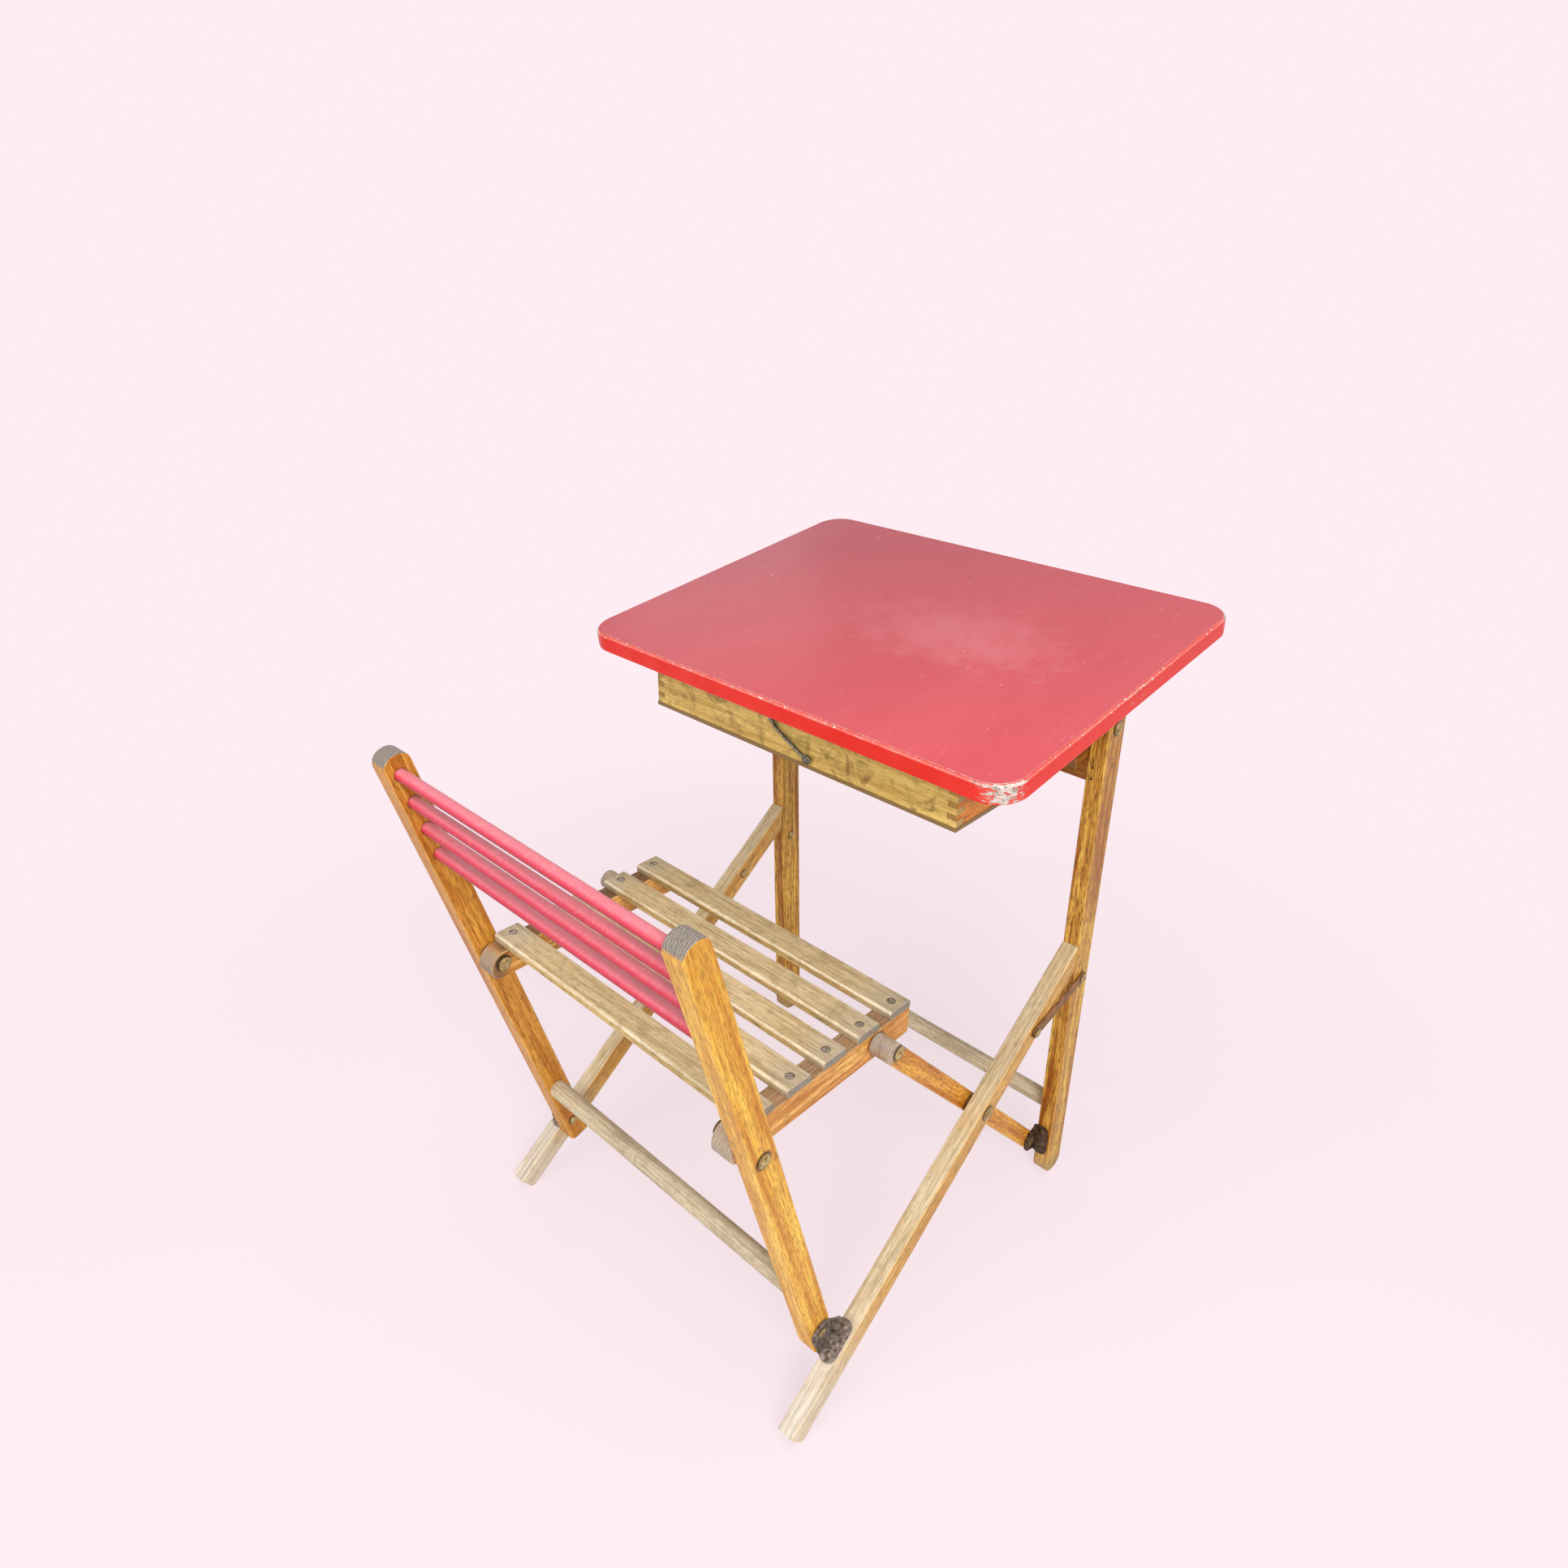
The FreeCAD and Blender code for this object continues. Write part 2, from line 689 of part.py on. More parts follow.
both("seat_bolt", turned(seat_pivot, seat_bolt_steps, thin_ease, leg_gap - thin_ease - side_play))

# Desk top: a board with round corners and a laminate sheet on it, drawn flat and then sloped
top_at = spot(top_front_y, top_front_z)


def sheet(inset, z_from, z_to, radius):
    x = top_width / 2 - inset
    corners = [
        FreeCAD.Vector(-x, inset, z_from),
        FreeCAD.Vector(x, inset, z_from),
        FreeCAD.Vector(x, top_depth - inset, z_from),
        FreeCAD.Vector(-x, top_depth - inset, z_from),
    ]
    face = rounded_face(corners, [radius] * len(corners))
    return face.extrude(FreeCAD.Vector(0, 0, z_to - z_from))


board = sheet(0, -top_thick, -laminate_thick, top_corner)
board_rims = [e for e in board.Edges if e.BoundBox.ZLength < thin_ease]
board = board.makeFillet(top_arris, board_rims)
nodes["top_board"] = placed(board, top_at, top_slope)
laminate = sheet(laminate_inset, -laminate_thick, 0, top_corner - laminate_inset)
nodes["top_laminate"] = placed(laminate, top_at, top_slope)


# Height of the board's underside above a spot on the y axis
def underside(y):
    slope = math.radians(top_slope)
    return top_front_z + (y - top_front_y) * math.tan(slope) - top_thick / math.cos(slope)


# Bearers: boards under the top that hang on the desk pivots and rest on the cross rail
bearer_out = leg_in - bearer_gap
bearer_in = bearer_out - bearer_thick
rest_z = cross_rail_top + rest_gap
heel_round = desk_pivot.z - rest_z
heel_y = desk_pivot.y + heel_round
nose_z = underside(bearer_front_y) - bearer_nose
bearer_corners = [
    spot(bearer_front_y, underside(bearer_front_y)),
    spot(bearer_front_y, nose_z),
    spot(bearer_step_y, nose_z),
    spot(bearer_step_y + bearer_step_run, rest_z),
    spot(heel_y, rest_z),
    spot(heel_y, underside(heel_y)),
]
bearer_radii = [0, bearer_nose * round_end_share, 0, 0, heel_round, 0]
bearer = bar(bearer_corners, bearer_radii, bearer_in, bearer_out, thin_ease)
pivot_seat = bearer_in + thin_ease
bearer = bearer.cut(rod(desk_pivot, bolt_radius + pivot_play, pivot_seat, bearer_out + over))
both("bearer", bearer)
desk_bolt_steps = [
    (pivot_seat + side_play, leg_out, bolt_radius),
    (leg_out, leg_out + thin_ease, bolt_head_radius - thin_ease),
]
both("desk_bolt", turned(desk_pivot, desk_bolt_steps, 0, bolt_head_height))

# Drawer: finger-jointed box on two runners, its plywood floor fixed underneath
drawer_half = bearer_in - drawer_gap
drawer_inner = drawer_half - drawer_board
drawer_back_y = drawer_front_y + drawer_length
floor_top_z = drawer_bottom_z + drawer_bottom_thick
drawer_top_z = drawer_bottom_z + drawer_height
front_in_y = drawer_front_y + drawer_board
back_in_y = drawer_back_y - drawer_board
finger_height = (drawer_top_z - floor_top_z) / finger_count
runner_z = drawer_bottom_z + runner_above_floor


# One board's share of the fingers at a corner of the box
def fingers(y_from, y_to, first):
    pieces = []
    for i in range(first, finger_count, 2):
        low = floor_top_z + finger_height * i
        pieces.append(block(drawer_inner, drawer_half, y_from, y_to, low, low + finger_height))
    return pieces


def end_board(y_from, y_to):
    shape = block(-drawer_inner, drawer_inner, y_from, y_to, floor_top_z, drawer_top_z)
    for piece in fingers(y_from, y_to, 0):
        shape = shape.fuse(piece).fuse(mirrored(piece))
    return shape.removeSplitter()


nodes["drawer_front"] = end_board(drawer_front_y, front_in_y)
nodes["drawer_back"] = end_board(back_in_y, drawer_back_y)
drawer_side = block(drawer_inner, drawer_half, front_in_y, back_in_y, floor_top_z, drawer_top_z)
for piece in fingers(drawer_front_y, front_in_y, 1) + fingers(back_in_y, drawer_back_y, 1):
    drawer_side = drawer_side.fuse(piece)
groove_low = runner_z - runner_gap
groove_high = runner_z + runner_height + runner_gap
groove_in = drawer_half - runner_depth - runner_gap
groove = block(groove_in, drawer_half + over, front_in_y, drawer_back_y + over, groove_low, groove_high)
both("drawer_side", drawer_side.removeSplitter().cut(groove))
nodes["drawer_back"] = nodes["drawer_back"].cut(groove).cut(mirrored(groove))
floor_half = drawer_half + drawer_bottom_lip
floor_front_y = drawer_front_y - drawer_bottom_lip
nodes["drawer_bottom"] = block(
    -floor_half, floor_half, floor_front_y, drawer_back_y, drawer_bottom_z, floor_top_z
)
runner_in = drawer_half - runner_depth
runner_back_y = drawer_back_y - runner_end_gap
runner_top_z = runner_z + runner_height
both("drawer_runner", block(runner_in, bearer_in, bearer_front_y, runner_back_y, runner_z, runner_top_z))

# Wire hook in front of the drawer, turning on a round-headed pin
hook_radius = hook_wire / 2
hook_y = drawer_front_y - hook_stand - hook_radius
eye = FreeCAD.Vector(hook_eye_x, hook_y, floor_top_z + hook_eye_up)
hook_elbow = eye + FreeCAD.Vector(-hook_run, 0, hook_rise)
hook_point = eye + FreeCAD.Vector(-hook_run - hook_tip, 0, hook_tip_rise)
hook_back = (eye - hook_elbow).normalize()
hook_ahead = (hook_point - hook_elbow).normalize()
hook_half = math.acos(hook_back.dot(hook_ahead)) / 2
hook_reach = hook_bend / math.tan(hook_half)
hook_middle = (hook_back + hook_ahead).normalize()
hook_centre = hook_elbow + hook_middle * (hook_bend / math.sin(hook_half))
hook_start = eye - hook_back * hook_eye_round
arc_first = hook_elbow + hook_back * hook_reach
arc_last = hook_elbow + hook_ahead * hook_reach
arc_middle = hook_centre - hook_middle * hook_bend
hook_path = Part.Wire([
    Part.LineSegment(hook_start, arc_first).toShape(),
    Part.Arc(arc_first, arc_middle, arc_last).toShape(),
    Part.LineSegment(arc_last, hook_point).toShape(),
])
hook_section = Part.Wire([Part.makeCircle(hook_radius, hook_start, hook_back * -1)])
hook_arm = hook_path.makePipeShell([hook_section], True, True)
hook_ring = Part.makeTorus(hook_eye_round, hook_radius, eye, forward)
hook_ball = Part.makeSphere(hook_radius, hook_point)
nodes["wire_hook"] = hook_arm.fuse(hook_ring).fuse(hook_ball)
pin_tip = drawer_front_y + hook_pin_sunk
pin_head_y = hook_y - hook_radius - side_play
pin_start = FreeCAD.Vector(eye.x, pin_head_y, eye.z)
pin_outline = [(0, hook_pin_head), (0, hook_pin), (pin_tip - pin_head_y, hook_pin)]
nodes["hook_pin"] = lathe(pin_start, forward, pin_outline, hook_pin_head_height, 0)
sunk_start = FreeCAD.Vector(eye.x, drawer_front_y - over, eye.z)
pin_bore = Part.makeCylinder(hook_pin + glue_gap, hook_pin_sunk + over, sunk_start, forward)
nodes["drawer_front"] = nodes["drawer_front"].cut(pin_bore)

# The origin is the middle of the whole desk's box, at floor level
whole = Part.makeCompound(list(nodes.values())).optimalBoundingBox(False, False)
shift = FreeCAD.Vector(-whole.Center.x, -whole.Center.y, -whole.ZMin)
os.makedirs("parts", exist_ok=True)
for name, shape in nodes.items():
    moved = shape.copy()
    moved.translate(shift)
    moved.exportStep("parts/" + name + ".step")
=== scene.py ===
import json
import math

import bmesh
import bpy
from mathutils import Matrix, Vector

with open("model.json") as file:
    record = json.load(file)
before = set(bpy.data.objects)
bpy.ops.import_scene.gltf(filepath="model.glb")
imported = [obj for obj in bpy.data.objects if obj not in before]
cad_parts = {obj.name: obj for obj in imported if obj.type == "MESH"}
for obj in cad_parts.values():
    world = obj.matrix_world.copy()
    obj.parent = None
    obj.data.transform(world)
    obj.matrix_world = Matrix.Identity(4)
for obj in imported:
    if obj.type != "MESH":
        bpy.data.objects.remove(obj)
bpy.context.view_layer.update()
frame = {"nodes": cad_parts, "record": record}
MM = 0.001


def linear(hex_colour, share=1.0):
    """An sRGB hex value as a linear RGBA colour, darkened to a share of its light."""
    parts = [int(hex_colour[i:i + 2], 16) / 255 for i in (1, 3, 5)]
    parts = [p / 12.92 if p <= 0.04045 else ((p + 0.055) / 1.055) ** 2.4 for p in parts]
    return (*[part * share for part in parts], 1.0)


def add(tree, kind, sockets=(), stops=(), **settings):
    """One node with its settings, its ramp stops, and its values or links by socket name or number.

    In a MapRange, 1 and 2 are the ends of the range read, and 3 and 4 those of the range given.
    In a Mix, 0 is the share, and 6 and 7 are the two colours.
    """
    made = tree.nodes.new("ShaderNode" + kind)
    for key, value in settings.items():
        setattr(made, key, value)
    for i, (place, tone) in enumerate(stops):
        stop = made.color_ramp.elements[i] if i < 2 else made.color_ramp.elements.new(place)
        stop.position = place
        stop.color = tone
    for key, value in dict(sockets).items():
        if isinstance(value, bpy.types.NodeSocket):
            tree.links.new(value, made.inputs[key])
        else:
            made.inputs[key].default_value = value
    return made


def finish(name):
    """A new material with only a shader, and its tree and shader."""
    made = bpy.data.materials.new(name)
    made.use_nodes = True
    shader = made.node_tree.nodes["Principled BSDF"]
    return made, made.node_tree, shader


ALONG_X = (0, 0, -math.pi / 2)


def side_turn(degrees):
    """Turn of a pattern whose length runs at this slope in the side view."""
    return (math.radians(degrees), 0, 0)


# Sizes in the wood, in millimetres, and first across and then along the grain where there are two. The pores come out
# about 0.8 mm wide, twice their true width, so that they show in the render
BAND_SIZE = (8, 190)
RING_SIZE = (2.2, 75)
PORE_SIZE = (0.9, 11)
BLOTCH_SIZE = 40
SMUDGE_SIZE = 34
YEAR_RING = 2.2
PLY_LAYER = 1.4
# A ring texture at a scale of one has about this many rings in one metre
RINGS_AT_ONE = 3.2
# How far the tree's middle lies from the bar's, in metres
PITH = (0.011, 0, -0.019)
# Colour of the darker ring round pins, and of the painted shade round rod sockets
PIN_RING_TONE = "#3d2813"


def wood(name, place, turn, honey, deep, bare, bare_deep, sky=0.0, fade=(), fade_amount=0.8, fade_tone=None,
         arris=0.4, arris_tone="#e6b873", end_tone="#8a6238", end_amount=0.6, top_end_only=False, gloss=0.4,
         pore_amount=0.6, ring_amount=0.85, worn_all=0.0, smudge=0.0, smudge_tone="#6a5230", pins=(),
         sockets=(), edge_tone=None):
    """Old wood under oil, varnish or stain: darker bands and short dark pores along the grain.

    Faces turned to the sky are bleached and rough, arrises are paler, partly rubbed and partly a painted highlight,
    and end grain shows its rings.
    A bar also fades between two places on its length, in millimetres, where hands or water have worn it.
    Dirt sits in cloudy smudges. The wood is darker in a ring round each pin, and painted shade darkens inner faces
    round each rod's socket.
    Plywood shows its layers on upright faces.
    """
    made, tree, shader = finish(name)
    coords = add(tree, "TexCoord")
    local = add(tree, "Mapping", {"Vector": coords.outputs["Object"], "Location": place, "Rotation": turn},
                vector_type="TEXTURE").outputs[0]
    facing = add(tree, "Mapping", {"Vector": coords.outputs["Normal"], "Rotation": turn},
                 vector_type="TEXTURE").outputs[0]
    along = add(tree, "SeparateXYZ", {0: local}).outputs[1]
    end_face = add(tree, "SeparateXYZ", {0: facing}).outputs[1]
    up_face = add(tree, "SeparateXYZ", {0: coords.outputs["Normal"]}).outputs[2]

    band_space, ring_space, pore_space = [
        add(tree, "VectorMath", {0: local, 1: (1 / (across * MM), 1 / (length * MM), 1 / (across * MM))},
            operation="MULTIPLY").outputs[0] for across, length in (BAND_SIZE, RING_SIZE, PORE_SIZE)]
    band = add(tree, "TexNoise", {"Vector": band_space, "Scale": 1.0, "Detail": 4.0, "Roughness": 0.65,
                                  "Distortion": 0.4}).outputs[0]
    ring = add(tree, "TexNoise", {"Vector": ring_space, "Scale": 1.0, "Detail": 3.0, "Roughness": 0.6}).outputs[0]
    pores = add(tree, "TexNoise", {"Vector": pore_space, "Scale": 1.0, "Detail": 1.0}).outputs[0]
    pores = add(tree, "MapRange", {0: pores, 1: 0.53, 2: 0.63}).outputs[0]
    blotch = add(tree, "TexNoise", {"Vector": local, "Scale": 1 / (BLOTCH_SIZE * MM), "Detail": 4.0,
                                    "Roughness": 0.6}).outputs[0]

    tone = add(tree, "ValToRGB", {0: band}, [(0.34, linear(deep)), (0.62, linear(honey))]).outputs[0]
    ring_mask = add(tree, "MapRange", {0: ring, 1: 0.48, 2: 0.64, 4: ring_amount}).outputs[0]
    tone = add(tree, "Mix", {0: ring_mask, 6: tone, 7: linear(deep)}, data_type="RGBA").outputs[2]
    pore_mask = add(tree, "MapRange", {0: pores, 4: pore_amount}).outputs[0]
    tone = add(tree, "Mix", {0: pore_mask, 6: tone, 7: linear(deep, 0.3)}, data_type="RGBA").outputs[2]

    bleached = add(tree, "ValToRGB", {0: ring}, [(0.36, linear(bare_deep)), (0.6, linear(bare))]).outputs[0]
    bare_mask = add(tree, "MapRange", {0: pores, 4: 0.6 * pore_amount}).outputs[0]
    bleached = add(tree, "Mix", {0: bare_mask, 6: bleached, 7: linear(bare_deep, 0.6)}, data_type="RGBA").outputs[2]
    weather = add(tree, "MapRange", {0: up_face, 1: 0.45, 2: 0.75, 3: worn_all, 4: max(sky, worn_all)}).outputs[0]
    if fade:
        start, end = fade[0] * MM, fade[1] * MM
        half = 0.5 * abs(fade[1] - fade[0]) * MM
        reach = along
        if turn == ALONG_X:
            reach = add(tree, "Math", {0: along}, operation="ABSOLUTE").outputs[0]
        spread = add(tree, "MapRange", {0: blotch, 3: -half, 4: half}).outputs[0]
        reach = add(tree, "Math", {0: reach, 1: spread}, operation="ADD").outputs[0]
        ending = add(tree, "MapRange", {0: reach, 1: start, 2: end, 4: fade_amount}).outputs[0]
        weather = add(tree, "Math", {0: weather, 1: ending}, operation="MAXIMUM").outputs[0]
        grey = add(tree, "ValToRGB", {0: ring},
                   [(0.36, linear(fade_tone, 0.6)), (0.56, linear(fade_tone))]).outputs[0]
        bleached = add(tree, "Mix", {0: ending, 6: bleached, 7: grey}, data_type="RGBA").outputs[2]
    uneven = add(tree, "MapRange", {0: blotch, 1: 0.32, 2: 0.58, 3: 0.75, 4: 1.0}).outputs[0]
    weather = add(tree, "Math", {0: weather, 1: uneven}, operation="MULTIPLY").outputs[0]
    tone = add(tree, "Mix", {0: weather, 6: tone, 7: bleached}, data_type="RGBA").outputs[2]

    # Paler arrises: partly rubbed wear, partly a painted highlight along the rounded edges
    corner = add(tree, "VectorMath", {0: facing}, operation="ABSOLUTE").outputs[0]
    corner = add(tree, "VectorMath", {0: corner, 1: (1, 1, 1)}, operation="DOT_PRODUCT").outputs[1]
    corner = add(tree, "MapRange", {0: corner, 1: 1.1, 2: 1.32, 4: arris}).outputs[0]
    rubbed = add(tree, "MapRange", {0: blotch, 1: 0.35, 2: 0.6, 3: 0.3}).outputs[0]
    corner = add(tree, "Math", {0: corner, 1: rubbed}, operation="MULTIPLY").outputs[0]
    tone = add(tree, "Mix", {0: corner, 6: tone, 7: linear(arris_tone)}, data_type="RGBA").outputs[2]

    end_grain = end_face
    if not top_end_only:
        end_grain = add(tree, "Math", {0: end_face}, operation="ABSOLUTE").outputs[0]
    end_grain = add(tree, "MapRange", {0: end_grain, 1: 0.3, 2: 0.55, 4: end_amount}).outputs[0]
    pith = add(tree, "VectorMath", {0: local, 1: (1, 0, 1)}, operation="MULTIPLY").outputs[0]
    pith = add(tree, "VectorMath", {0: pith, 1: PITH}, operation="ADD").outputs[0]
    year = add(tree, "TexWave", {"Vector": pith, "Scale": 1 / (YEAR_RING * MM) / RINGS_AT_ONE, "Distortion": 8.0,
                                 "Detail": 4.0, "Detail Scale": 1.5},
               wave_type="RINGS", rings_direction="SPHERICAL").outputs[1]
    end_colour = add(tree, "ValToRGB", {0: year},
                     [(0.12, linear(end_tone, 0.45)), (0.55, linear(end_tone))]).outputs[0]
    tone = add(tree, "Mix", {0: end_grain, 6: tone, 7: end_colour}, data_type="RGBA").outputs[2]

    if smudge:
        cloud = add(tree, "TexNoise", {"Vector": local, "Scale": 1 / (SMUDGE_SIZE * MM), "Detail": 8.0,
                                       "Roughness": 0.68, "Distortion": 2.0}).outputs[0]
        cloud = add(tree, "MapRange", {0: cloud, 1: 0.5, 2: 0.66, 4: smudge}).outputs[0]
        tone = add(tree, "Mix", {0: cloud, 6: tone, 7: linear(smudge_tone)}, data_type="RGBA").outputs[2]
    if sockets:
        inner = add(tree, "VectorMath", {0: coords.outputs["Normal"], 1: coords.outputs["Object"]},
                    operation="MULTIPLY").outputs[0]
        inner = add(tree, "SeparateXYZ", {0: inner}).outputs[0]
        inner = add(tree, "MapRange", {0: inner, 1: -0.02, 2: -0.1}).outputs[0]
    # A darker ring round each pin, and painted shade round each rod's socket on inner faces
    for pin, radius in (*pins, *sockets):
        plane = [float(part != 0) for part in pin]
        near = add(tree, "VectorMath", {0: coords.outputs["Object"], 1: plane}, operation="MULTIPLY").outputs[0]
        near = add(tree, "VectorMath", {0: near, 1: pin}, operation="DISTANCE").outputs[1]
        near = add(tree, "MapRange", {0: near, 1: (radius + 0.2) * MM, 2: 1.3 * radius * MM,
                                      3: 0.8, 4: 0.0}).outputs[0]
        if (pin, radius) in sockets:
            near = add(tree, "Math", {0: near, 1: inner}, operation="MULTIPLY").outputs[0]
        tone = add(tree, "Mix", {0: near, 6: tone, 7: linear(PIN_RING_TONE)}, data_type="RGBA").outputs[2]

    if edge_tone:
        layer = add(tree, "SeparateXYZ", {0: local}).outputs[2]
        layer = add(tree, "Math", {0: layer, 1: PLY_LAYER * MM}, operation="PINGPONG").outputs[0]
        layer = add(tree, "MapRange", {0: layer, 2: PLY_LAYER * MM, 3: 0.75, 4: 1.0}).outputs[0]
        upright = add(tree, "Math", {0: up_face}, operation="ABSOLUTE").outputs[0]
        upright = add(tree, "MapRange", {0: upright, 1: 0.6, 2: 0.4}).outputs[0]
        layer = add(tree, "Math", {0: upright, 1: layer}, operation="MULTIPLY").outputs[0]
        tone = add(tree, "Mix", {0: layer, 6: tone, 7: linear(edge_tone)}, data_type="RGBA").outputs[2]

    rough = add(tree, "MapRange", {0: weather, 3: gloss, 4: 0.78}).outputs[0]
    relief = add(tree, "Math", {0: ring, 1: pores}, operation="SUBTRACT").outputs[0]
    bump = add(tree, "Bump", {"Strength": 0.25, "Distance": 0.15 * MM, "Height": relief}).outputs[0]
    tree.links.new(tone, shader.inputs["Base Color"])
    tree.links.new(rough, shader.inputs["Roughness"])
    tree.links.new(bump, shader.inputs["Normal"])
    shader.inputs["IOR"].default_value = 1.5
    shader.inputs["Specular IOR Level"].default_value = 0.3
    return made


# Where each bar's length starts in the side view, and how it slopes
LEG_AT, LEG_TURN = (0, 0.03816, 0.207), side_turn(36.87)
UPRIGHT_AT, UPRIGHT_TURN = (0, 0.20936, 0), side_turn(92.2)
POST_AT, POST_TURN = (0, -0.17884, 0.085), side_turn(105.63)
LINK_AT, LINK_TURN = (0, 0.18176, 0.0492), side_turn(132.3)
SEAT_AT, SEAT_TURN = (0, -0.25384, 0.353), side_turn(-0.49)
TOP_AT, TOP_TURN = (0, -0.06084, 0.6119), side_turn(7.6)
DRAWER_AT, DRAWER_TURN = (0, -0.02224, 0.5364), side_turn(0)

# Bolts and rivets in the side view, and slat screws in the top view: place, and radius of the head in millimetres
BOLT_HEAD, RIVET_HEAD, SCREW_HEAD = 7.5, 5.0, 3.5
LEG_BOLT = (LEG_AT, BOLT_HEAD)
POST_RIVET = (POST_AT, RIVET_HEAD)
SEAT_BOLT = (SEAT_AT, BOLT_HEAD)
LINK_BOLT = ((0, -0.08924, 0.3516), BOLT_HEAD)
STAY_LOW = ((0, 0.11252, 0.26277), RIVET_HEAD)
STAY_TOP = ((0, 0.19849, 0.28299), RIVET_HEAD)
DESK_BOLT = ((0, 0.18737, 0.57238), BOLT_HEAD)
SCREW_FROM_MIDDLE, FIRST_SLAT, SLAT_PITCH, SLAT_COUNT = 0.16, -0.23358, 0.0436, 5
SLAT_SCREWS = [((side * SCREW_FROM_MIDDLE, FIRST_SLAT + SLAT_PITCH * i, 0), SCREW_HEAD)
               for i in range(SLAT_COUNT) for side in (-1, 1)]

# Sockets of the back rods: how far up the post each one is, the post's direction, and the socket's radius
SOCKET_REACH = (0.4987, 0.4687, 0.4387, 0.4087)
POST_RUN, POST_RISE = -0.26943, 0.96302
SOCKET_RADIUS = 5.6
ROD_SOCKETS = [((0, POST_AT[1] + POST_RUN * reach, POST_AT[2] + POST_RISE * reach), SOCKET_RADIUS)
               for reach in SOCKET_REACH]

finishes = {}
# Long legs: pale honey, bleached above and grey near the floor
finishes["leg_wood"] = wood(
    "varnished_oak_long_leg", LEG_AT, LEG_TURN, "#e9b666", "#c18437", "#e3d2b1", "#bba57e", sky=0.95,
    fade=(-190, -290), fade_tone="#e0d9cf", arris_tone="#edcc87", end_tone="#a39a8c",
    smudge=0.3, smudge_tone="#8d6a44", pins=[LEG_BOLT, STAY_LOW])
# Uprights: yellow honey with strong dark grain, and grey-brown feet
finishes["upright_wood"] = wood(
    "varnished_oak_upright", UPRIGHT_AT, UPRIGHT_TURN, "#f7c656", "#a55912", "#e5c275", "#b48f4b",
    fade=(45, 8), fade_tone="#b39a7c", arris_tone="#e8b460", pore_amount=0.75,
    smudge=0.35, smudge_tone="#7c4d1c", pins=[STAY_TOP, DESK_BOLT])
# Back posts: bright honey with grey tops. The left post and rail take darker copies of the finish as painted shade,
# since they face away from the light
for slot, name, honey, deep in (("post_wood", "varnished_oak_back_post", "#ffcb53", "#cb7e1b"),
                                ("painted_shade_post_wood", "varnished_oak_back_post_left_painted_shade", "#e8a747", "#b36515")):
    finishes[slot] = wood(
        name, POST_AT, POST_TURN, honey, deep, "#a99b6a", "#756a47", end_tone="#8a857f",
        end_amount=0.95, top_end_only=True, pore_amount=0.5, smudge=0.25, smudge_tone="#9a6526",
        pins=[SEAT_BOLT, POST_RIVET], sockets=ROD_SOCKETS)
# Links: warm honey, with grey rounded ends at the seat
finishes["link_wood"] = wood(
    "varnished_oak_link", LINK_AT, LINK_TURN, "#f7b442", "#bb6813", "#d7c28a", "#96855b", sky=0.3,
    fade=(400, 412), fade_amount=0.95, fade_tone="#b9aca1", end_tone="#a09388",
    smudge=0.35, smudge_tone="#8a5420", pins=[LINK_BOLT, LEG_BOLT])
# Seat rails: honey sides under a grey-brown top, and pale worn back ends. The left rail's copy has a darker top and
# back ends: painted shade
for slot, name, bare, bare_deep, worn_end in (
        ("seat_rail_wood", "varnished_oak_seat_rail", "#98816c", "#604e3f", "#cebaa9"),
        ("painted_shade_seat_rail_wood", "varnished_oak_seat_rail_left_painted_shade", "#6b5340", "#3e2e21", "#8e6a4e")):
    finishes[slot] = wood(
        name, SEAT_AT, SEAT_TURN, "#f7be69", "#c17326", bare, bare_deep, sky=0.9,
        fade=(8, -3), fade_amount=0.9, fade_tone=worn_end, end_tone="#a89a8c", pins=[SEAT_BOLT, LINK_BOLT])
# Slats: matt and pale from use, greyer towards their ends
finishes["slat_wood"] = wood(
    "weathered_oak_slat", SEAT_AT, ALONG_X, "#dab97b", "#a68548", "#ddc7a0", "#ab926a", sky=0.8,
    fade=(125, 165), fade_tone="#b5aa9a", arris=0.75, arris_tone="#ecdec1",
    end_tone="#9a9084", end_amount=0.85, gloss=0.5, smudge=0.45, smudge_tone="#86704a", pins=SLAT_SCREWS)
# Round bars between the legs: dry, pale and matt all round
finishes["dowel_wood"] = wood(
    "weathered_oak_dowel", SEAT_AT, ALONG_X, "#d8be93", "#b9996b", "#dbcdb1", "#af9c83", worn_all=0.85,
    arris=0.0, gloss=0.6, smudge=0.4, smudge_tone="#8f7e68")
# Cross rail, bearers and drawer runners: dark brown stain. The bearers' finish is also darkened by painted shade from
# under the desk top
finishes["cross_rail_wood"] = wood(
    "stained_oak_cross_rail", UPRIGHT_AT, ALONG_X, "#a15f1b", "#7a440f", "#926a2b", "#6d4b19")
# Bearers: dark brown stain, darkened further by painted shade from under the desk top
finishes["bearer_wood"] = wood(
    "stained_oak_bearer_painted_shade", TOP_AT, TOP_TURN, "#9c5c1a", "#77410c", "#836a2b", "#634b19")
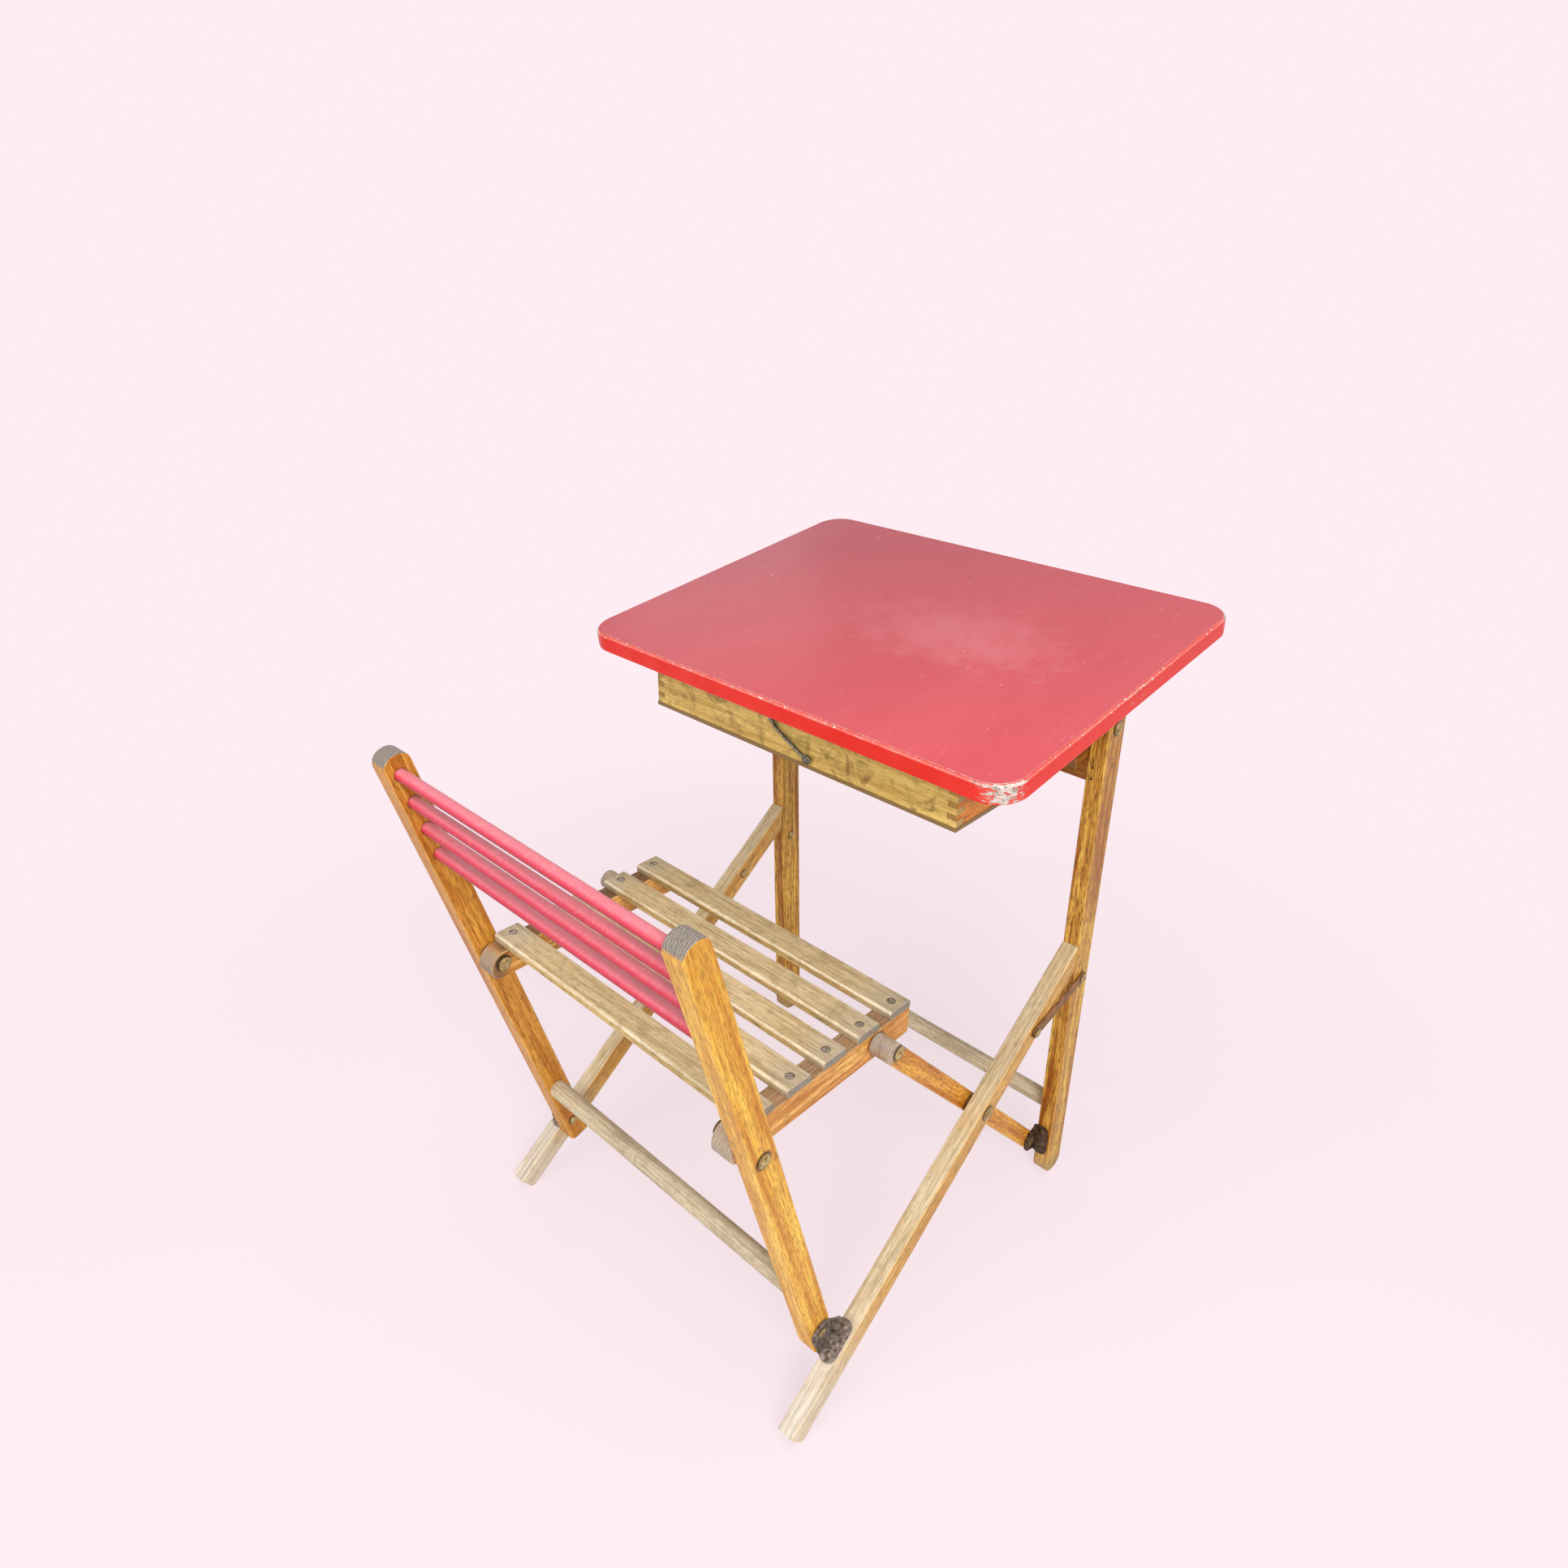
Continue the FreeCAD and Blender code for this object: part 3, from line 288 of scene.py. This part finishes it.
# Drawer: a pale yellow front and back with dark smudges, orange sides, and a dull floor with its layers at the edge
finishes["drawer_front_wood"] = wood(
    "varnished_oak_drawer_front", DRAWER_AT, ALONG_X, "#f3d27b", "#c39b4d", "#e8d189", "#b69c5f",
    arris=0.3, arris_tone="#f6e198", end_tone="#b89458", pore_amount=0.25, ring_amount=0.45,
    smudge=0.75, smudge_tone="#73572c")
finishes["drawer_side_wood"] = wood(
    "varnished_oak_drawer_side", DRAWER_AT, DRAWER_TURN, "#f79e36", "#da7a22", "#f2ac53", "#bc8132",
    end_tone="#a98b4e", end_amount=0.8, smudge=0.4, smudge_tone="#8a5a24")
finishes["drawer_ply"] = wood(
    "peeled_birch_plywood", DRAWER_AT, ALONG_X, "#c4a46a", "#957648", "#b8945a", "#8a6a3a",
    arris=0.0, smudge=0.4, edge_tone="#86693f")

# Size of the paint's specks in millimetres, and how brush marks are drawn out along a piece
SPECK_SIZE = 3.5
BRUSHED = (1, 0.25, 1)


def paint(name, place, turn, fresh, faded, fade_size):
    """Brushed oil paint in fresh and faded patches, with what its wear is drawn from."""
    made, tree, shader = finish(name)
    coords = add(tree, "TexCoord")
    local = add(tree, "Mapping", {"Vector": coords.outputs["Object"], "Location": place, "Rotation": turn},
                vector_type="TEXTURE").outputs[0]
    facing = add(tree, "Mapping", {"Vector": coords.outputs["Normal"], "Rotation": turn},
                 vector_type="TEXTURE").outputs[0]
    stretched = add(tree, "VectorMath", {0: local, 1: BRUSHED}, operation="MULTIPLY").outputs[0]
    patches = add(tree, "TexNoise", {"Vector": stretched, "Scale": 1 / (fade_size * MM), "Detail": 4.0}).outputs[0]
    specks = add(tree, "TexNoise", {"Vector": local, "Scale": 1 / (SPECK_SIZE * MM), "Detail": 3.0,
                                    "Roughness": 0.65}).outputs[0]
    tone = add(tree, "ValToRGB", {0: patches}, [(0.35, linear(fresh)), (0.68, linear(faded))]).outputs[0]
    return made, tree, shader, local, facing, patches, specks, tone


# Back rods: beech dowel under thin pinkish-red oil paint, with a painted shade that makes them deep red below, a
# painted highlight that makes them pale pink above, pale specks on top, and grime with a painted shadow of the rod
# above where backs rub them
# Side of each rod towards the light and the backs that rub it: the painted shade and highlight, the pale specks and
# the grime follow it
LIT_AND_RUBBED_SIDE = (-0.553, 0, 0.833)
# Height between the first rod and the second, from the post's foot in metres: the top rod is the cleanest, with no
# grime and no painted shadow of a rod above
GRIME_SHADOW_FROM, GRIME_SHADOW_FULL = 0.470, 0.465
made, tree, shader, local, facing, patches, specks, tone = paint(
    "brushed_oil_paint_rod", POST_AT, ALONG_X, "#d4344b", "#e05267", 30)
around = add(tree, "VectorMath", {0: facing, 1: LIT_AND_RUBBED_SIDE}, operation="DOT_PRODUCT").outputs[1]
around = add(tree, "MapRange", {0: around, 1: -1.0, 2: 1.0}).outputs[0]
# Painted shade and highlight round each rod: deep red on the side away from the light, pale pink on the side towards
# it
painted_round_shading = add(tree, "ValToRGB", {0: around}, [(0.08, linear("#8f172b")), (0.85, linear("#d98089")),
                                                 (0.28, linear("#c92a40")), (0.44, linear("#dd4c60")),
                                                 (0.6, linear("#e47c88"))]).outputs[0]
tone = add(tree, "Mix", {0: 0.75, 6: tone, 7: painted_round_shading}, data_type="RGBA").outputs[2]
mottle = add(tree, "MapRange", {0: specks, 1: 0.5, 2: 0.68, 4: 0.4}).outputs[0]
bleach = add(tree, "MapRange", {0: around, 1: 0.3, 2: 0.6, 3: 0.2}).outputs[0]
mottle = add(tree, "Math", {0: mottle, 1: bleach}, operation="MULTIPLY").outputs[0]
tone = add(tree, "Mix", {0: mottle, 6: tone, 7: linear("#e39aa0")}, data_type="RGBA").outputs[2]
low = add(tree, "SeparateXYZ", {0: local}).outputs[2]
low = add(tree, "MapRange", {0: low, 1: GRIME_SHADOW_FROM, 2: GRIME_SHADOW_FULL, 3: 0.25}).outputs[0]
# Grime and the painted shadow of the rod above, on the upper side of every rod below the top one
grime_and_shadow = add(tree, "MapRange", {0: around, 1: 0.62, 2: 0.9}).outputs[0]
grime_and_shadow = add(tree, "Math", {0: grime_and_shadow, 1: low}, operation="MULTIPLY").outputs[0]
broken = add(tree, "MapRange", {0: patches, 1: 0.38, 2: 0.62, 3: 0.2, 4: 0.65}).outputs[0]
grime_and_shadow = add(tree, "Math", {0: grime_and_shadow, 1: broken}, operation="MULTIPLY").outputs[0]
tone = add(tree, "Mix", {0: grime_and_shadow, 6: tone, 7: linear("#9c5f62")}, data_type="RGBA").outputs[2]
tree.links.new(tone, shader.inputs["Base Color"])
tree.links.new(add(tree, "MapRange", {0: patches, 3: 0.34, 4: 0.58}).outputs[0], shader.inputs["Roughness"])
tree.links.new(add(tree, "Bump", {"Strength": 0.2, "Distance": 0.2 * MM, "Height": specks}).outputs[0],
               shader.inputs["Normal"])
shader.inputs["Specular IOR Level"].default_value = 0.35
finishes["rod_paint"] = made

# Desk board: bright red enamel on its edge, chipped along its upper arris and worn bare at the corners, with a plain
# plywood underside. Each worn spot has its place, how far it reaches in metres, and how strong it is
WORN_SPOTS = (((0.243, 0.008, -0.008), 0.030, 0.2), ((0.243, 0.379, -0.006), 0.024, 0.2),
              ((-0.243, 0.008, -0.004), 0.020, 0.16), ((0.249, 0.20, -0.004), 0.06, 0.05))
# Plywood grain across and along, and chips by length and height, in millimetres
SHEET_ACROSS, SHEET_ALONG = 7, 240
CHIP_LENGTH, CHIP_HEIGHT = 5, 1.8
made, tree, shader, local, facing, patches, specks, tone = paint(
    "brushed_enamel_board_edge", TOP_AT, TOP_TURN, "#dd2419", "#e43328", 40)
corner = add(tree, "VectorMath", {0: facing}, operation="ABSOLUTE").outputs[0]
corner = add(tree, "VectorMath", {0: corner, 1: (1, 1, 1)}, operation="DOT_PRODUCT").outputs[1]
arris = add(tree, "MapRange", {0: corner, 1: 1.08, 2: 1.35}).outputs[0]
up_face = add(tree, "SeparateXYZ", {0: facing}).outputs[2]
under = add(tree, "MapRange", {0: up_face, 1: -0.75, 2: -0.95}).outputs[0]
sheet = add(tree, "VectorMath", {0: local, 1: (1 / (SHEET_ACROSS * MM), 1 / (SHEET_ALONG * MM), 1)},
            operation="MULTIPLY").outputs[0]
sheet = add(tree, "TexNoise", {"Vector": sheet, "Scale": 1.0, "Detail": 5.0, "Roughness": 0.6}).outputs[0]
sheet = add(tree, "ValToRGB", {0: sheet}, [(0.36, linear("#a8804a")), (0.64, linear("#cda871"))]).outputs[0]
upper = add(tree, "MapRange", {0: up_face, 1: -0.2, 2: 0.3}).outputs[0]
arris = add(tree, "Math", {0: arris, 1: upper}, operation="MULTIPLY").outputs[0]
worn = None
for place, reach, amount in WORN_SPOTS:
    near = add(tree, "VectorMath", {0: local, 1: place}, operation="DISTANCE").outputs[1]
    near = add(tree, "MapRange", {0: near, 1: 0.2 * reach, 2: reach, 3: amount, 4: 0.0}).outputs[0]
    worn = near if worn is None else add(tree, "Math", {0: worn, 1: near}, operation="MAXIMUM").outputs[0]
chip_scale = (1 / (CHIP_LENGTH * MM), 1 / (CHIP_LENGTH * MM), 1 / (CHIP_HEIGHT * MM))
streaky = add(tree, "VectorMath", {0: local, 1: chip_scale}, operation="MULTIPLY").outputs[0]
streaks = add(tree, "TexNoise", {"Vector": streaky, "Scale": 1.0, "Detail": 4.0, "Roughness": 0.7}).outputs[0]
rubbed = add(tree, "MapRange", {0: patches, 1: 0.35, 2: 0.65, 3: 0.25, 4: 0.6}).outputs[0]
rubbed = add(tree, "Math", {0: arris, 1: rubbed}, operation="MULTIPLY").outputs[0]
tone = add(tree, "Mix", {0: rubbed, 6: tone, 7: linear("#cf9a90")}, data_type="RGBA").outputs[2]
spot = add(tree, "Math", {0: arris, 1: 0.13}, operation="MULTIPLY").outputs[0]
spot = add(tree, "Math", {0: streaks, 1: spot}, operation="ADD").outputs[0]
spot = add(tree, "Math", {0: spot, 1: worn}, operation="ADD").outputs[0]
chip = add(tree, "MapRange", {0: spot, 1: 0.69, 2: 0.73}).outputs[0]
bare = add(tree, "ValToRGB", {0: specks}, [(0.36, linear("#8f857b")), (0.55, linear("#d9cec4"))]).outputs[0]
tone = add(tree, "Mix", {0: chip, 6: tone, 7: bare}, data_type="RGBA").outputs[2]
tone = add(tree, "Mix", {0: under, 6: tone, 7: sheet}, data_type="RGBA").outputs[2]
tree.links.new(tone, shader.inputs["Base Color"])
tree.links.new(add(tree, "MapRange", {0: chip, 3: 0.36, 4: 0.8}).outputs[0], shader.inputs["Roughness"])
deep = add(tree, "Math", {0: chip, 1: -1.0}, operation="MULTIPLY").outputs[0]
tree.links.new(add(tree, "Bump", {"Strength": 0.5, "Distance": 0.3 * MM, "Height": deep}).outputs[0],
               shader.inputs["Normal"])
shader.inputs["Specular IOR Level"].default_value = 0.2
finishes["board_edge_paint"] = made

# Sheet on the desk top: glossy red melamine laminate, dulled where hands rub it, with fine scratches and specks, and
# a painted reflection that turns it darker and deeper red towards the far left.
# The dull patch has a middle and half sizes in metres, and each set of scratches an angle, a length in millimetres
# and a shift
DULL_AT, DULL_REACH = (0.06, 0.20), (0.13, 0.075)
SCRATCHES = ((0.45, 30, 0.0), (-0.75, 22, 3.1), (1.3, 26, 7.7))
SCRATCH_WIDTH, DOT_SIZE, SMEAR_SIZE, WAVE_SIZE = 1.3, 4.5, 28, 60
made, tree, shader, local, facing, _, specks, tone = paint(
    "pressed_melamine_laminate", TOP_AT, TOP_TURN, "#c43f47", "#cc4a51", 90)
flat = add(tree, "VectorMath", {0: local, 1: (1, 1, 0)}, operation="MULTIPLY").outputs[0]
dull = add(tree, "VectorMath", {0: flat, 1: (-DULL_AT[0], -DULL_AT[1], 0)}, operation="ADD").outputs[0]
dull = add(tree, "VectorMath", {0: dull, 1: (1 / DULL_REACH[0], 1 / DULL_REACH[1], 0)},
           operation="MULTIPLY").outputs[0]
dull = add(tree, "VectorMath", {0: dull}, operation="LENGTH").outputs[1]
ragged = add(tree, "TexNoise", {"Vector": flat, "Scale": 1 / (SMEAR_SIZE * MM), "Detail": 5.0,
                                "Roughness": 0.65}).outputs[0]
torn = add(tree, "MapRange", {0: ragged, 3: -0.9, 4: 0.9}).outputs[0]
dull = add(tree, "Math", {0: dull, 1: torn}, operation="ADD").outputs[0]
dull = add(tree, "MapRange", {0: dull, 1: 1.0, 2: 0.1, 4: 0.6}).outputs[0]
tone = add(tree, "Mix", {0: dull, 6: tone, 7: linear("#d4868a")}, data_type="RGBA").outputs[2]
# Painted reflection: darker and deeper red towards the far left, standing in for what the glossy top reflects there
painted_reflection_slant = add(tree, "VectorMath", {0: flat, 1: (-1.0, 1.0, 0)}, operation="DOT_PRODUCT").outputs[1]
painted_reflection_slant = add(tree, "MapRange", {0: painted_reflection_slant, 1: -0.15, 2: 0.5, 4: 0.9}).outputs[0]
tone = add(tree, "Mix", {0: painted_reflection_slant, 6: tone, 7: linear("#9c1f2d")}, data_type="RGBA").outputs[2]
scratched = None
for angle, length, shift in SCRATCHES:
    lined = add(tree, "Mapping", {"Vector": flat, "Location": (shift, 0, 0), "Rotation": (0, 0, angle),
                                  "Scale": (1 / (SCRATCH_WIDTH * MM), 1 / (length * MM), 1)}).outputs[0]
    line = add(tree, "TexNoise", {"Vector": lined, "Scale": 1.0, "Detail": 1.0}).outputs[0]
    line = add(tree, "MapRange", {0: line, 1: 0.73, 2: 0.78}).outputs[0]
    scratched = line if scratched is None else add(
        tree, "Math", {0: scratched, 1: line}, operation="MAXIMUM").outputs[0]
dots = add(tree, "TexNoise", {"Vector": flat, "Scale": 1 / (DOT_SIZE * MM), "Detail": 2.0}).outputs[0]
dots = add(tree, "MapRange", {0: dots, 1: 0.715, 2: 0.745}).outputs[0]
marks = add(tree, "Math", {0: scratched, 1: dots}, operation="MAXIMUM").outputs[0]
sparse = add(tree, "MapRange", {0: ragged, 1: 0.48, 2: 0.62, 3: 0.1, 4: 0.75}).outputs[0]
marks = add(tree, "Math", {0: marks, 1: sparse}, operation="MULTIPLY").outputs[0]
tone = add(tree, "Mix", {0: marks, 6: tone, 7: linear("#e9a9a6")}, data_type="RGBA").outputs[2]
rim = add(tree, "SeparateXYZ", {0: facing}).outputs[2]
rim = add(tree, "MapRange", {0: rim, 1: 0.9, 2: 0.5}).outputs[0]
rim_worn = add(tree, "MapRange", {0: specks, 1: 0.38, 2: 0.62, 3: 0.3, 4: 0.95}).outputs[0]
rim = add(tree, "Math", {0: rim, 1: rim_worn}, operation="MULTIPLY").outputs[0]
tone = add(tree, "Mix", {0: rim, 6: tone, 7: linear("#cfc2b6")}, data_type="RGBA").outputs[2]
tree.links.new(tone, shader.inputs["Base Color"])
rough = add(tree, "MapRange", {0: dull, 2: 0.55, 3: 0.2, 4: 0.42}).outputs[0]
smear = add(tree, "MapRange", {0: ragged, 1: 0.35, 2: 0.7, 3: 0.0, 4: 0.05}).outputs[0]
tree.links.new(add(tree, "Math", {0: rough, 1: smear}, operation="ADD").outputs[0], shader.inputs["Roughness"])
wave = add(tree, "TexNoise", {"Vector": flat, "Scale": 1 / (WAVE_SIZE * MM), "Detail": 1.0}).outputs[0]
tree.links.new(add(tree, "Bump", {"Strength": 0.05, "Distance": 1.0 * MM, "Height": wave}).outputs[0],
               shader.inputs["Normal"])
finishes["top_laminate"] = made

# Size of the fine pits in the metal, in millimetres
PIT_SIZE = 1.2
# Colour of the darker rim on domed heads
RIM_DARK_TONE = "#3a2c1a"


def metal(name, bright, dark, rust, rust_amount, metallic, rough, grit=4.0, rim=()):
    """Old plain steel or brass: dull bright patches, dark tarnish and brown rust in blotches of the size of the grit.

    A domed head is darker on its rim, where its face turns away from the axis given as rim.
    """
    made, tree, shader = finish(name)
    coords = add(tree, "TexCoord")
    spot = coords.outputs["Object"]
    blotch = add(tree, "TexNoise", {"Vector": spot, "Scale": 1 / (grit * MM), "Detail": 4.0,
                                    "Roughness": 0.6}).outputs[0]
    pits = add(tree, "TexNoise", {"Vector": spot, "Scale": 1 / (PIT_SIZE * MM), "Detail": 3.0,
                                  "Roughness": 0.7}).outputs[0]
    tone = add(tree, "ValToRGB", {0: blotch}, [(0.36, linear(dark)), (0.64, linear(bright))]).outputs[0]
    rusty = add(tree, "MapRange", {0: pits, 1: 0.42, 2: 0.66, 4: rust_amount}).outputs[0]
    tone = add(tree, "Mix", {0: rusty, 6: tone, 7: linear(rust)}, data_type="RGBA").outputs[2]
    if rim:
        turned = add(tree, "VectorMath", {0: coords.outputs["Normal"], 1: rim}, operation="DOT_PRODUCT").outputs[1]
        turned = add(tree, "Math", {0: turned}, operation="ABSOLUTE").outputs[0]
        turned = add(tree, "MapRange", {0: turned, 1: 0.9, 2: 0.55, 4: 0.8}).outputs[0]
        tone = add(tree, "Mix", {0: turned, 6: tone, 7: linear(RIM_DARK_TONE)}, data_type="RGBA").outputs[2]
    shine = add(tree, "MapRange", {0: rusty, 2: rust_amount, 3: metallic, 4: metallic * 0.35}).outputs[0]
    tree.links.new(tone, shader.inputs["Base Color"])
    tree.links.new(shine, shader.inputs["Metallic"])
    tree.links.new(add(tree, "MapRange", {0: pits, 1: 0.3, 2: 0.7, 3: rough[0], 4: rough[1]}).outputs[0],
                   shader.inputs["Roughness"])
    tree.links.new(add(tree, "Bump", {"Strength": 0.35, "Distance": 0.15 * MM, "Height": pits}).outputs[0],
                   shader.inputs["Normal"])
    return made


# Post brackets: grey steel with brown spots and a soft shine
finishes["bracket_steel"] = metal("pressed_steel_post_bracket", "#9a9188", "#3d3028", "#5f3e2a",
                                  rust_amount=0.5, metallic=0.6, rough=(0.3, 0.55))
# Foot brackets and their screws: nearly black, with brown where the blacking has gone
finishes["foot_bracket_steel"] = metal("blackened_steel_foot_bracket", "#6e5337", "#1a1108", "#351e0e",
                                       rust_amount=0.5, metallic=0.45, rough=(0.3, 0.6), grit=5)
# Screws of the post brackets: grey heads that shine more than the brackets
finishes["bracket_screw_steel"] = metal("turned_steel_bracket_screw", "#9a8d7e", "#54473a", "#5f4630",
                                        rust_amount=0.5, metallic=0.8, rough=(0.3, 0.5))
# Stays: brown with rust all over, and hardly any shine
finishes["stay_steel"] = metal("sheared_steel_stay", "#a2754a", "#6d4626", "#7d4820",
                               rust_amount=0.8, metallic=0.4, rough=(0.45, 0.7), grit=10)
# Slat screws: pale heads, rubbed bright by use
finishes["slat_screw_steel"] = metal("turned_steel_slat_screw", "#c9bfb4", "#8a7e74", "#5a4a3c",
                                     rust_amount=0.4, metallic=0.7, rough=(0.3, 0.55))
# Rail pins: small dark dots in the wood
finishes["pin_steel"] = metal("drawn_steel_rail_pin", "#3f352b", "#241b13", "#3a281a",
                              rust_amount=0.5, metallic=0.6, rough=(0.45, 0.65))
# Hook and its pin: smooth grey wire with a clear shine
finishes["wire_steel"] = metal("bent_steel_hook_wire", "#85806f", "#45423a", "#554838",
                               rust_amount=0.35, metallic=0.85, rough=(0.22, 0.4))
# Bolts, rivets and nuts: pale gold domes with dark rims
finishes["bolt_brass"] = metal("turned_brass_bolt", "#e0c792", "#8f733c", "#6b5029",
                               rust_amount=0.4, metallic=0.9, rough=(0.2, 0.4), rim=(1, 0, 0))

for part in frame["record"]["subparts"]:
    piece = frame["nodes"][part["node"]]
    piece.data.materials.clear()
    slot = "foot_bracket_steel" if part["node"].startswith("foot_bracket_") else part["material_slot"]
    # The left post and the left seat rail take the darker copies of their finishes: painted shade
    if part["node"] in ("back_post_left", "seat_rail_left"):
        slot = "painted_shade_" + slot
    piece.data.materials.append(finishes[slot])

# Camera where the photograph was taken from, with its picture's size, focal length and middle in pixels
CAMERA_AT = Vector((0.5965, -0.674139, 0.9792))
AZIMUTH, ELEVATION, ROLL = math.radians(42.69), math.radians(25.918), math.radians(1.0696)
PICTURE_SIZE, FOCAL_LENGTH, MIDDLE_X, MIDDLE_Y = 1932, 1315.7, 969.2, 921.4
SENSOR_WIDTH = 36.0
level = math.cos(ELEVATION)
back = Vector((math.sin(AZIMUTH) * level, -math.cos(AZIMUTH) * level, math.sin(ELEVATION)))
right = Vector((math.cos(AZIMUTH), math.sin(AZIMUTH), 0))
over = back.cross(right)
rolled_right = right * math.cos(ROLL) + over * math.sin(ROLL)
rolled_over = over * math.cos(ROLL) - right * math.sin(ROLL)
lens = bpy.data.cameras.new("camera")
lens.sensor_width = SENSOR_WIDTH
lens.lens = FOCAL_LENGTH / PICTURE_SIZE * SENSOR_WIDTH
lens.shift_x = (PICTURE_SIZE / 2 - MIDDLE_X) / PICTURE_SIZE
lens.shift_y = (MIDDLE_Y - PICTURE_SIZE / 2) / PICTURE_SIZE
lens.clip_start, lens.clip_end = 0.01, 100
camera = bpy.data.objects.new("camera", lens)
camera.matrix_world = Matrix.Translation(CAMERA_AT) @ Matrix((rolled_right, rolled_over, back)).transposed().to_4x4()
bpy.context.scene.collection.objects.link(camera)
bpy.context.scene.camera = camera

# Pale floor that fades into the backdrop colour of the world, between two distances in metres. The camera sees it
# partly lifted to that colour
PALE = "#feedf3"
FLOOR_HALF, FADE_FROM, FADE_TO, LIFT = 1.6, 0.5, 1.3, 0.7
made, tree, shader = finish("pale_floor")
ground = add(tree, "TexCoord").outputs["Object"]
far = add(tree, "VectorMath", {0: ground}, operation="LENGTH").outputs[1]
far = add(tree, "MapRange", {0: far, 1: FADE_FROM, 2: FADE_TO}, interpolation_type="SMOOTHSTEP").outputs[0]
clear = add(tree, "BsdfTransparent").outputs[0]
path = add(tree, "LightPath").outputs["Is Camera Ray"]
ground_tone = add(tree, "Mix", {0: path, 6: linear("#e6e4e2"), 7: linear("#ecdde2")}, data_type="RGBA").outputs[2]
matt = add(tree, "BsdfDiffuse", {0: ground_tone}).outputs[0]
shown = add(tree, "Emission", {0: linear(PALE), 1: 1.0}).outputs[0]
lift = add(tree, "Math", {0: path, 1: LIFT}, operation="MULTIPLY").outputs[0]
matt = add(tree, "MixShader", {0: lift, 1: matt, 2: shown}).outputs[0]
blend = add(tree, "MixShader", {0: far, 1: matt, 2: clear}).outputs[0]
tree.links.new(blend, tree.nodes["Material Output"].inputs[0])
mesh = bpy.data.meshes.new("floor")
shape = bmesh.new()
bmesh.ops.create_grid(shape, x_segments=2, y_segments=2, size=FLOOR_HALF)
shape.to_mesh(mesh)
shape.free()
floor = bpy.data.objects.new("floor", mesh)
mesh.materials.append(made)
bpy.context.scene.collection.objects.link(floor)

# The world: soft white light, and the pale backdrop for the camera and for reflections
SKY_LIGHT = 0.46
world = bpy.data.worlds.new("studio")
world.use_nodes = True
bpy.context.scene.world = world
tree = world.node_tree
path = add(tree, "LightPath")
seen = add(tree, "Math", {0: path.outputs["Is Camera Ray"], 1: path.outputs["Is Glossy Ray"]},
           operation="MAXIMUM").outputs[0]
seen = add(tree, "Math", {0: seen, 1: path.outputs["Is Transmission Ray"]}, operation="MAXIMUM").outputs[0]
soft = add(tree, "Background", {0: (1, 1, 1, 1), 1: SKY_LIGHT}).outputs[0]
shown = add(tree, "Background", {0: linear(PALE), 1: 1.0}).outputs[0]
tree.links.new(add(tree, "MixShader", {0: seen, 1: soft, 2: shown}).outputs[0],
               tree.nodes["World Output"].inputs[0])


def softbox(name, at, aim, size, power):
    """A large square lamp, turned to the desk: sizes in metres, and power in watts."""
    lamp = bpy.data.lights.new(name, "AREA")
    lamp.size = size
    lamp.energy = power
    held = bpy.data.objects.new(name, lamp)
    held.location = at
    held.rotation_euler = (Vector(aim) - Vector(at)).to_track_quat("-Z", "Y").to_euler()
    bpy.context.scene.collection.objects.link(held)


softbox("right_softbox", (2.0, -1.2, 1.9), (0, 0, 0.35), size=1.2, power=50)
softbox("front_softbox", (-0.4, -2.6, 1.1), (0, 0, 0.45), size=1.4, power=24)
softbox("window_softbox", (-2.0, 1.5, 1.85), (0, 0, 0.64), size=0.7, power=0.6)
softbox("top_softbox", (0.3, -0.2, 2.8), (0, 0, 0.35), size=1.6, power=25)

bpy.context.scene.view_settings.view_transform = "Standard"
